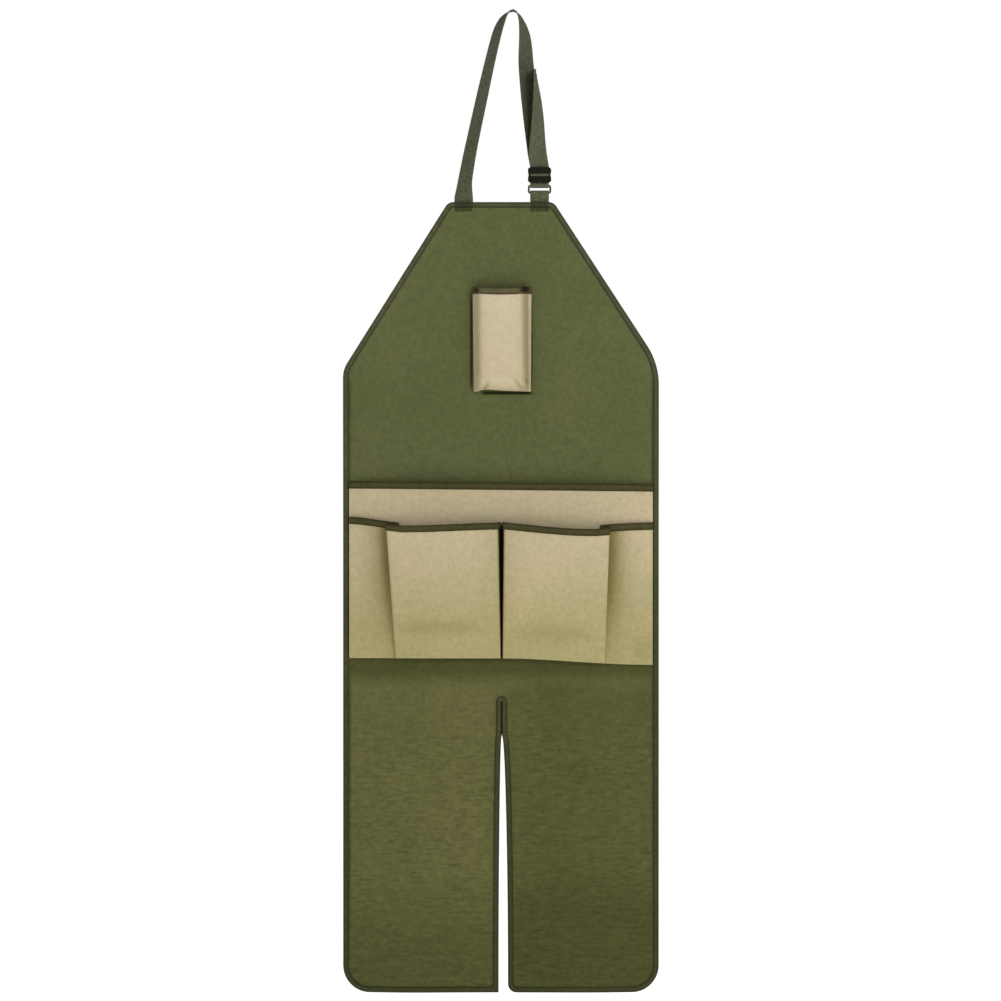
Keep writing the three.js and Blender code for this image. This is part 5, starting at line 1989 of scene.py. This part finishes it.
@dataclass
class NeckStrap:
    """Webbing strap over the neck, its tab, ring and slider."""

    foot_shift: float = -0.0495
    tab_shift: float = 0.0513
    sewn_length: float = 0.030
    tab_height: float = 0.0124
    ring_width: float = 0.031
    ring_height: float = 0.012
    ring_wire: float = 0.0025
    ring_radius: float = 0.0022
    wire_sides: int = 16
    slider_rise: float = 0.036
    slider_width: float = 0.031
    slider_height: float = 0.021
    slider_window: float = 0.0042
    slider_waist: float = 0.0011
    slider_bar: float = 0.0025
    slider_centre_bar: float = 0.004
    slider_rail: float = 0.0013
    slider_rail_height: float = 0.013
    slider_bevel: float = 0.00035
    slider_sink: float = 0.0002
    sharp_turn: float = 40.0
    window_radius: float = 0.0009
    window_bulge: float = 0.0031
    bulge_share: float = 0.36
    foot_stations: int = 8
    left_steps: int = 110
    right_steps: int = 90
    tail_steps: int = 50
    rear_stations: int = 5
    window_stations: int = 61
    turn_stations: int = 12
    shade_behind_tail: Place = (0.16, 0.24)
    tab_stations: int = 7
    tail_rows: tuple[int, ...] = (-2, -5)
    tail_row_reach: float = 0.42
    foot_box: float = 0.0215
    tab_box: float = 0.0225
    box_drop: float = 0.0022
    box_height: float = 0.0098
    box_top: float = 0.013
    box_foot: float = 0.003
    box_rows: int = 6
    row_points: int = 12
    line_points: int = 14

    @property
    def hardware_x(self) -> float:
        """Place across of the ring and the slider."""
        return FORM.centre + self.tab_shift

    @property
    def hardware_y(self) -> float:
        """Depth of the ring and of the middle between the webbing's two layers."""
        return LAYERS.webbing_stack / 2

    @property
    def lower_bar(self) -> float:
        """Height of the ring's lower bar."""
        return FORM.top + self.tab_height

    @property
    def upper_bar(self) -> float:
        """Height of the ring's upper bar."""
        return self.lower_bar + self.ring_height - self.ring_wire

    def run(self, rows: Sequence[StrapRow], foot: float, steps: int) -> Array:
        """Smooth run through the rows of a table.

        Args:
            rows: Rows of the run.
            foot: Place across of the run's foot.
            steps: Pieces that the run is cut into.

        Returns:
            Place, depth, height and facing of each station.
        """
        top = LAYERS.webbing / 2
        values = np.array([(row.reach, row.depth, row.rise, row.facing) for row in rows], dtype=float)
        reach, depth, rise, facing = values.T
        places = (lerp(foot, 0, reach), depth * LAYERS.webbing_width, lerp(FORM.top, top, rise))
        return smooth_curve(np.column_stack([*places, facing]), steps)

    def wrap(self, bar: float, start: float, end: float, steps: int = 12) -> Array:
        """Half turn of webbing round one bar of the ring, from one angle to another."""
        radius = self.ring_wire / 2 + LAYERS.clearance + LAYERS.webbing / 2
        angles = np.linspace(start, end, steps + 1)
        return self.level(self.hardware_y + radius * np.cos(angles), bar + radius * np.sin(angles))

    def level(self, y: Array | float, z: Array) -> Array:
        """Stations at the ring and the slider, where the webbing faces straight backwards."""
        return np.stack(np.broadcast_arrays(self.hardware_x, y, z, 180.0), axis=-1)

    @property
    def layers_y(self) -> tuple[float, float]:
        """Depths of the rear and of the front layer of webbing at the ring and the slider."""
        half = LAYERS.webbing_stack / 2
        return self.hardware_y + half, self.hardware_y - half

    def webbing(self, name: str, stations: Array, painted_shade: Array) -> Piece:
        """Webbing along stations.

        Args:
            name: Name of the piece.
            stations: Place, depth, height and facing of each station.
            painted_shade: Painted shade of each station.

        Returns:
            The piece.
        """
        centres, across, through = self.directions(stations)
        section = flat_section(LAYERS.webbing_width, LAYERS.webbing)
        mesh = swept_band(name, centres, section, across, through, painted_shade)
        return piece_from_mesh(name, mesh, WEBBING_OLIVE.material(), 70)

    @staticmethod
    def directions(stations: Array) -> tuple[Array, Array, Array]:
        """Middles of a band and its directions across and through."""
        centres = stations[:, :3]
        along = np.gradient(centres, axis=0)
        along /= np.linalg.norm(along, axis=1, keepdims=True)
        turn = np.radians(stations[:, 3])
        across = np.column_stack([np.cos(turn), -np.sin(turn), np.zeros(len(turn))])
        across -= along * np.sum(across * along, axis=1, keepdims=True)
        across /= np.linalg.norm(across, axis=1, keepdims=True)
        return centres, across, np.cross(along, across)

    def strap_run(self) -> Array:
        """Stations of the whole strap from its sewn foot to the end of its tail."""
        foot = FORM.centre + self.foot_shift
        middle = FORM.top + self.slider_rise
        top, bottom = middle + self.slider_height / 2, middle - self.slider_height / 2
        rear, fore = self.layers_y
        heights = np.linspace(bottom, top, self.window_stations)
        from_window = (heights - middle) / (self.bulge_share * self.slider_window)
        bulge = self.window_bulge * np.exp(-(from_window**4))
        return np.vstack(
            [
                [(foot, 0.0, z, 0.0) for z in self.sewn_heights(self.foot_stations)],
                self.run(LEFT_RUN, foot, self.left_steps),
                self.run(RIGHT_RUN, self.hardware_x, self.right_steps),
                self.level(rear, np.linspace(top, bottom, self.rear_stations)),
                self.wrap(self.upper_bar, 0.0, -math.pi),
                self.level(fore - bulge, heights),
                self.run(TAIL_RUN, self.hardware_x, self.tail_steps),
            ]
        )

    def sewn_heights(self, count: int) -> Array:
        """Heights of the stations behind the bib, upwards."""
        return np.linspace(FORM.top - self.sewn_length, FORM.top + LAYERS.clearance, count)

    def strap_painted_shade(self, stations: Array) -> Array:
        """Painted shade on the layer of the strap that lies behind its own tail.

        Args:
            stations: Stations of the whole strap.

        Returns:
            Painted shade of each station.
        """
        count = np.arange(len(stations))
        top = self.foot_stations + self.left_steps + 1
        behind = smoothstep(count, top - self.turn_stations, top + self.turn_stations)
        rear = count < top + self.right_steps + 1 + self.rear_stations
        least, more = self.shade_behind_tail
        lower = smoothstep(-stations[:, 2], 0.05, 0.20)
        return np.where(rear, behind * (least + more * lower), 0.0)

    def tab_run(self) -> Array:
        """Stations of the tab from its front end round the ring to its back end."""
        rear, fore = self.layers_y
        heights = self.sewn_heights(self.tab_stations)
        turn = self.wrap(self.lower_bar, math.pi, 0.0)
        return np.vstack([self.level(fore, heights), turn, self.level(rear, heights[::-1])])

    def build_ring(self) -> Piece:
        """Rectangular ring of round wire."""
        half = (self.ring_width - self.ring_wire) / 2
        path = rounded_window(half, self.lower_bar, self.upper_bar, self.ring_radius, 8)
        along = np.roll(path, -1, axis=0) - np.roll(path, 1, axis=0)
        along /= np.linalg.norm(along, axis=1, keepdims=True)
        radius = self.ring_wire / 2
        angles = np.linspace(0, math.tau, self.wire_sides + 1)[None, :-1]
        x = self.hardware_x + path[:, :1] + along[:, 1:] * radius * np.cos(angles)
        z = path[:, 1:] - along[:, :1] * radius * np.cos(angles)
        y = self.hardware_y + radius * np.sin(angles) + 0 * x
        points = np.stack([x, y, z], axis=-1)
        rows, columns = points.shape[:2]
        cells = [(row, column) for row in range(rows) for column in range(columns)]
        faces = [cell(rows, columns, row, column) for row, column in cells]
        uvs = [(column / columns, row / rows) for row, column in cells for _ in range(4)]
        mesh = outward_mesh("ring_wire", points.reshape(-1, 3), faces, uvs)
        return piece_from_mesh("ring_wire", mesh, RING_BLACK.material(), 80)

    def slider_outline(self) -> Array:
        """Half outline of the slider's face from the middle of its right side upwards."""
        half_width, half_height = self.slider_width / 2, self.slider_height / 2
        bulge = (half_height - self.slider_window / 2) / 2
        bar_middle = self.slider_window / 2 + bulge
        waist = half_width - self.slider_waist

        def bend(start: Place, pull: Place, end: Place) -> list[Array]:
            """Points of a quadratic curve."""
            shares = np.linspace(0, 1, 9)[:-1]
            return [lerp(lerp(start, pull, t), lerp(pull, end, t), t) for t in shares]

        upper = bend((waist, 0), (half_width, self.slider_window / 2), (half_width, bar_middle))
        corner = bend((half_width, bar_middle), (half_width, half_height), (waist - bulge, half_height))
        quarter = np.array(upper + corner + [np.array((waist - bulge, half_height))])
        mirrored = quarter[::-1] * np.array([-1, 1])
        top = np.vstack([quarter, mirrored])
        return np.vstack([top, -top[1:-1]])

    def build_slider(self) -> Piece:
        """Three-bar slider: a face plate with two bars, side rails and a centre bar behind."""
        middle = Vector((self.hardware_x, 0, FORM.top + self.slider_rise))
        stack = LAYERS.webbing_stack / 2 + LAYERS.webbing / 2 + LAYERS.clearance
        plate_back, bar_front = self.hardware_y - stack, self.hardware_y + stack
        rail_inside = LAYERS.webbing_width / 2 + LAYERS.clearance
        mesh = bmesh.new()
        outer = self.slider_outline()
        half = self.slider_window / 2
        window = rounded_window(rail_inside, -half, half, self.window_radius, 4)
        loops = []
        for outline in (outer, window):
            corners = [mesh.verts.new(middle + Vector((x, plate_back, z))) for x, z in outline]
            loops.extend(mesh.edges.new((a, b)) for a, b in zip(corners, corners[1:] + corners[:1]))
        flat = bmesh.ops.triangle_fill(mesh, use_beauty=True, use_dissolve=True, edges=loops)
        faces = [item for item in flat["geom"] if isinstance(item, bmesh.types.BMFace)]
        raised = bmesh.ops.extrude_face_region(mesh, geom=faces)
        moved = [item for item in raised["geom"] if isinstance(item, bmesh.types.BMVert)]
        bmesh.ops.translate(mesh, verts=moved, vec=(0, -self.slider_bar, 0))
        bar_back = bar_front + self.slider_bar
        depth = bar_back - plate_back + self.slider_sink
        for side in (-1, 1):
            place = Vector((side * (rail_inside + self.slider_rail / 2), bar_back - depth / 2, 0))
            self.block(mesh, middle + place, (self.slider_rail, depth, self.slider_rail_height))
        bar = Vector((0, bar_front + self.slider_bar / 2, 0))
        span = 2 * rail_inside + self.slider_rail
        self.block(mesh, middle + bar, (span, self.slider_bar, self.slider_centre_bar))
        bmesh.ops.remove_doubles(mesh, verts=mesh.verts, dist=1e-6)
        bmesh.ops.recalc_face_normals(mesh, faces=mesh.faces)
        joined = [edge for edge in mesh.edges if len(edge.link_faces) == 2]
        bmesh.ops.bevel(
            mesh,
            geom=[edge for edge in joined if edge.calc_face_angle(0) > math.radians(self.sharp_turn)],
            offset=self.slider_bevel,
            segments=2,
            affect="EDGES",
            profile=0.6,
            clamp_overlap=True,
        )
        bmesh.ops.triangulate(mesh, faces=[face for face in mesh.faces if len(face.verts) > 4])
        result = bpy.data.meshes.new("slider_body")
        mesh.to_mesh(result)
        mesh.free()
        return piece_from_mesh("slider_body", result, SLIDER_BLACK.material(), 35)

    @staticmethod
    def block(mesh: bmesh.types.BMesh, centre: Vector, size: tuple[float, float, float]) -> None:
        """Add a box to a mesh."""
        made = bmesh.ops.create_cube(mesh, size=1.0)["verts"]
        bmesh.ops.scale(mesh, verts=made, vec=size)
        bmesh.ops.translate(mesh, verts=made, vec=centre)

    def build_stitches(self) -> None:
        """Boxes of stitches that hold the strap and the tab, and rows across the tail's end."""
        stitches = StitchRuns("strap_stitches", THREAD_DARK, pitch=0.0021, length=0.0024, width=0.0015)
        foot, top = FORM.centre + self.foot_shift, FORM.top - self.box_drop
        for middle, width in ((foot, self.foot_box), (self.hardware_x, self.tab_box)):
            left, right = middle - width / 2, middle + width / 2
            for face in (-1, 1):
                for z in np.linspace(top, top - self.box_height, self.box_rows):
                    self.add_row(stitches, ((left, z), (right, z)), self.row_points, face)
                if face > 0:
                    self.add_box(stitches, left, right)
        tail = self.run(TAIL_RUN, self.hardware_x, self.tail_steps)
        centres, across, through = self.directions(tail)
        shares = np.linspace(-self.tail_row_reach, self.tail_row_reach, 10)[:, None]
        for index in self.tail_rows:
            for sense in (1, -1):
                off = through[index] * sense
                row = centres[index] + across[index] * (shares * LAYERS.webbing_width)
                stitches.add(row + off * (LAYERS.webbing / 2 + FACE_LIFT), off)
        stitches.build()

    def sewn_depth(self, x: Array, z: Array, face: int) -> Array:
        """Y of the surface that a box of stitches lies on, in front of or behind the bib."""
        if face < 0:
            taped = z > FORM.top - FORM.tape_width
            return FORM.front(x, z) - np.where(taped, LAYERS.tape_face, 0) - FACE_LIFT
        middle = 0.0 if x.mean() < 0 else self.layers_y[0]
        return np.full(len(x), middle + LAYERS.webbing / 2 + FACE_LIFT)

    def add_row(self, stitches: StitchRuns, ends: tuple[Place, Place], count: int, face: int) -> None:
        """Add a row of stitches between two ends, -1 in front of the bib and 1 behind it."""
        x, z = np.linspace(*ends, count).T
        stitches.add(np.column_stack([x, self.sewn_depth(x, z, face), z]), (0.0, face, 0.0))

    def add_box(self, stitches: StitchRuns, left: float, right: float) -> None:
        """Add the crossed box of stitches on the back of a sewn end, between two places across."""
        top, bottom = FORM.top - self.box_top, FORM.top - self.sewn_length + self.box_foot
        for ends in (
            ((left, top), (right, bottom)),
            ((right, top), (left, bottom)),
            ((left, bottom), (right, bottom)),
            ((left, top), (left, bottom)),
            ((right, top), (right, bottom)),
        ):
            self.add_row(stitches, ends, self.line_points, 1)

    def build(self) -> None:
        """Make the strap, the tab, the ring and the slider."""
        strap, tab = self.strap_run(), self.tab_run()
        pieces = {
            "neck_strap": self.webbing("strap_webbing", strap, self.strap_painted_shade(strap)),
            "strap_tab": self.webbing("tab_webbing", tab, np.zeros(len(tab))),
            "strap_ring": self.build_ring(),
            "strap_slider": self.build_slider(),
        }
        for node, piece in pieces.items():
            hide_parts(node)
        self.build_stitches()
        log.info("strap, tab, ring and slider")


# Studio


@dataclass(frozen=True)
class SoftLight:
    """Square soft light: its name, its place, the length of its side and its power in watts."""

    name: str
    place: tuple[float, float, float]
    size: float
    watts: float

    def build(self, target: Vector) -> None:
        """Make the light, turned to a target."""
        data = bpy.data.lights.new(self.name, "AREA")
        data.shape, data.size, data.energy = "SQUARE", self.size, self.watts
        light = new_object(self.name, data)
        light.location = self.place
        light.rotation_euler = (target - Vector(self.place)).to_track_quat("-Z", "Y").to_euler()


@dataclass
class Studio:
    """Pale floor, soft lights and the camera."""

    metres_per_pixel: float = 0.001329
    centre_x: float = -0.0166
    centre_z: float = -0.6505
    distance: float = 7.0
    floor_height: float = -1.34
    floor_size: float = 14.0
    floor_white: float = 0.9
    floor_roughness: float = 0.95
    floor_glow: float = 0.7
    sky_seen: float = 1.0
    sky_light: float = 0.37
    lights: tuple[SoftLight, ...] = table(
        SoftLight,
        ("key", (1.7, -2.4, 1.0), 1.1, 46),
        ("fill", (-2.4, -2.8, -0.2), 2.0, 10),
        ("rim", (0.8, 2.6, 0.6), 1.6, 11),
    )

    def build_floor(self) -> None:
        """Plain pale floor under the hanging apron."""
        mesh = bpy.data.meshes.new("floor")
        half = self.floor_size / 2
        square = ((-half, -half), (half, -half), (half, half), (-half, half))
        mesh.from_pydata([(x, y, self.floor_height) for x, y in square], [], [(0, 1, 2, 3)])
        floor = new_object("floor", mesh)
        material = bpy.data.materials.new("pale_floor")
        material.use_nodes = True
        surface = material.node_tree.nodes["Principled BSDF"].inputs
        surface["Base Color"].default_value = (*[self.floor_white] * 3, 1)
        surface["Roughness"].default_value = self.floor_roughness
        surface["Specular IOR Level"].default_value = 0.0
        surface["Emission Color"].default_value = (1, 1, 1, 1)
        surface["Emission Strength"].default_value = self.floor_glow
        mesh.materials.append(material)

    def build_world(self) -> None:
        """White surroundings that light the apron softly."""
        world = bpy.data.worlds.new("studio")
        world.use_nodes = True
        sheet = NodeSheet(world.node_tree)
        output = world.node_tree.nodes["World Output"]
        seen, lit = (
            sheet.add("ShaderNodeBackground", {"Color": (1, 1, 1, 1), "Strength": strength}).outputs[0]
            for strength in (self.sky_seen, self.sky_light)
        )
        camera = sheet.add("ShaderNodeLightPath").outputs["Is Camera Ray"]
        both = sheet.add("ShaderNodeMixShader", {0: camera, 1: lit, 2: seen}).outputs[0]
        world.node_tree.links.new(both, output.inputs["Surface"])
        bpy.context.scene.world = world

    def build_camera(self) -> None:
        """Camera straight in front, with a long lens as the photograph was taken."""
        data = bpy.data.cameras.new("camera")
        data.sensor_width = 36.0
        data.lens = data.sensor_width * self.distance / (IMAGE_PIXELS * self.metres_per_pixel)
        camera = new_object("camera", data)
        camera.location = (self.centre_x, -self.distance, self.centre_z)
        camera.rotation_euler = (math.pi / 2, 0, 0)
        bpy.context.scene.camera = camera

    def build(self) -> None:
        """Make the floor, the surroundings, the lights and the camera."""
        self.build_floor()
        self.build_world()
        for light in self.lights:
            light.build(Vector((self.centre_x, 0, self.centre_z)))
        self.build_camera()
        bpy.context.scene.view_settings.view_transform = "Standard"
        log.info("studio")


def main() -> None:
    """Build the apron and its studio."""
    logging.basicConfig(level=logging.INFO, format="%(message)s")
    Studio().build()
    ApronPanel().build()
    PocketSet().build()
    NeckStrap().build()


if __name__ == "__main__":
    main()
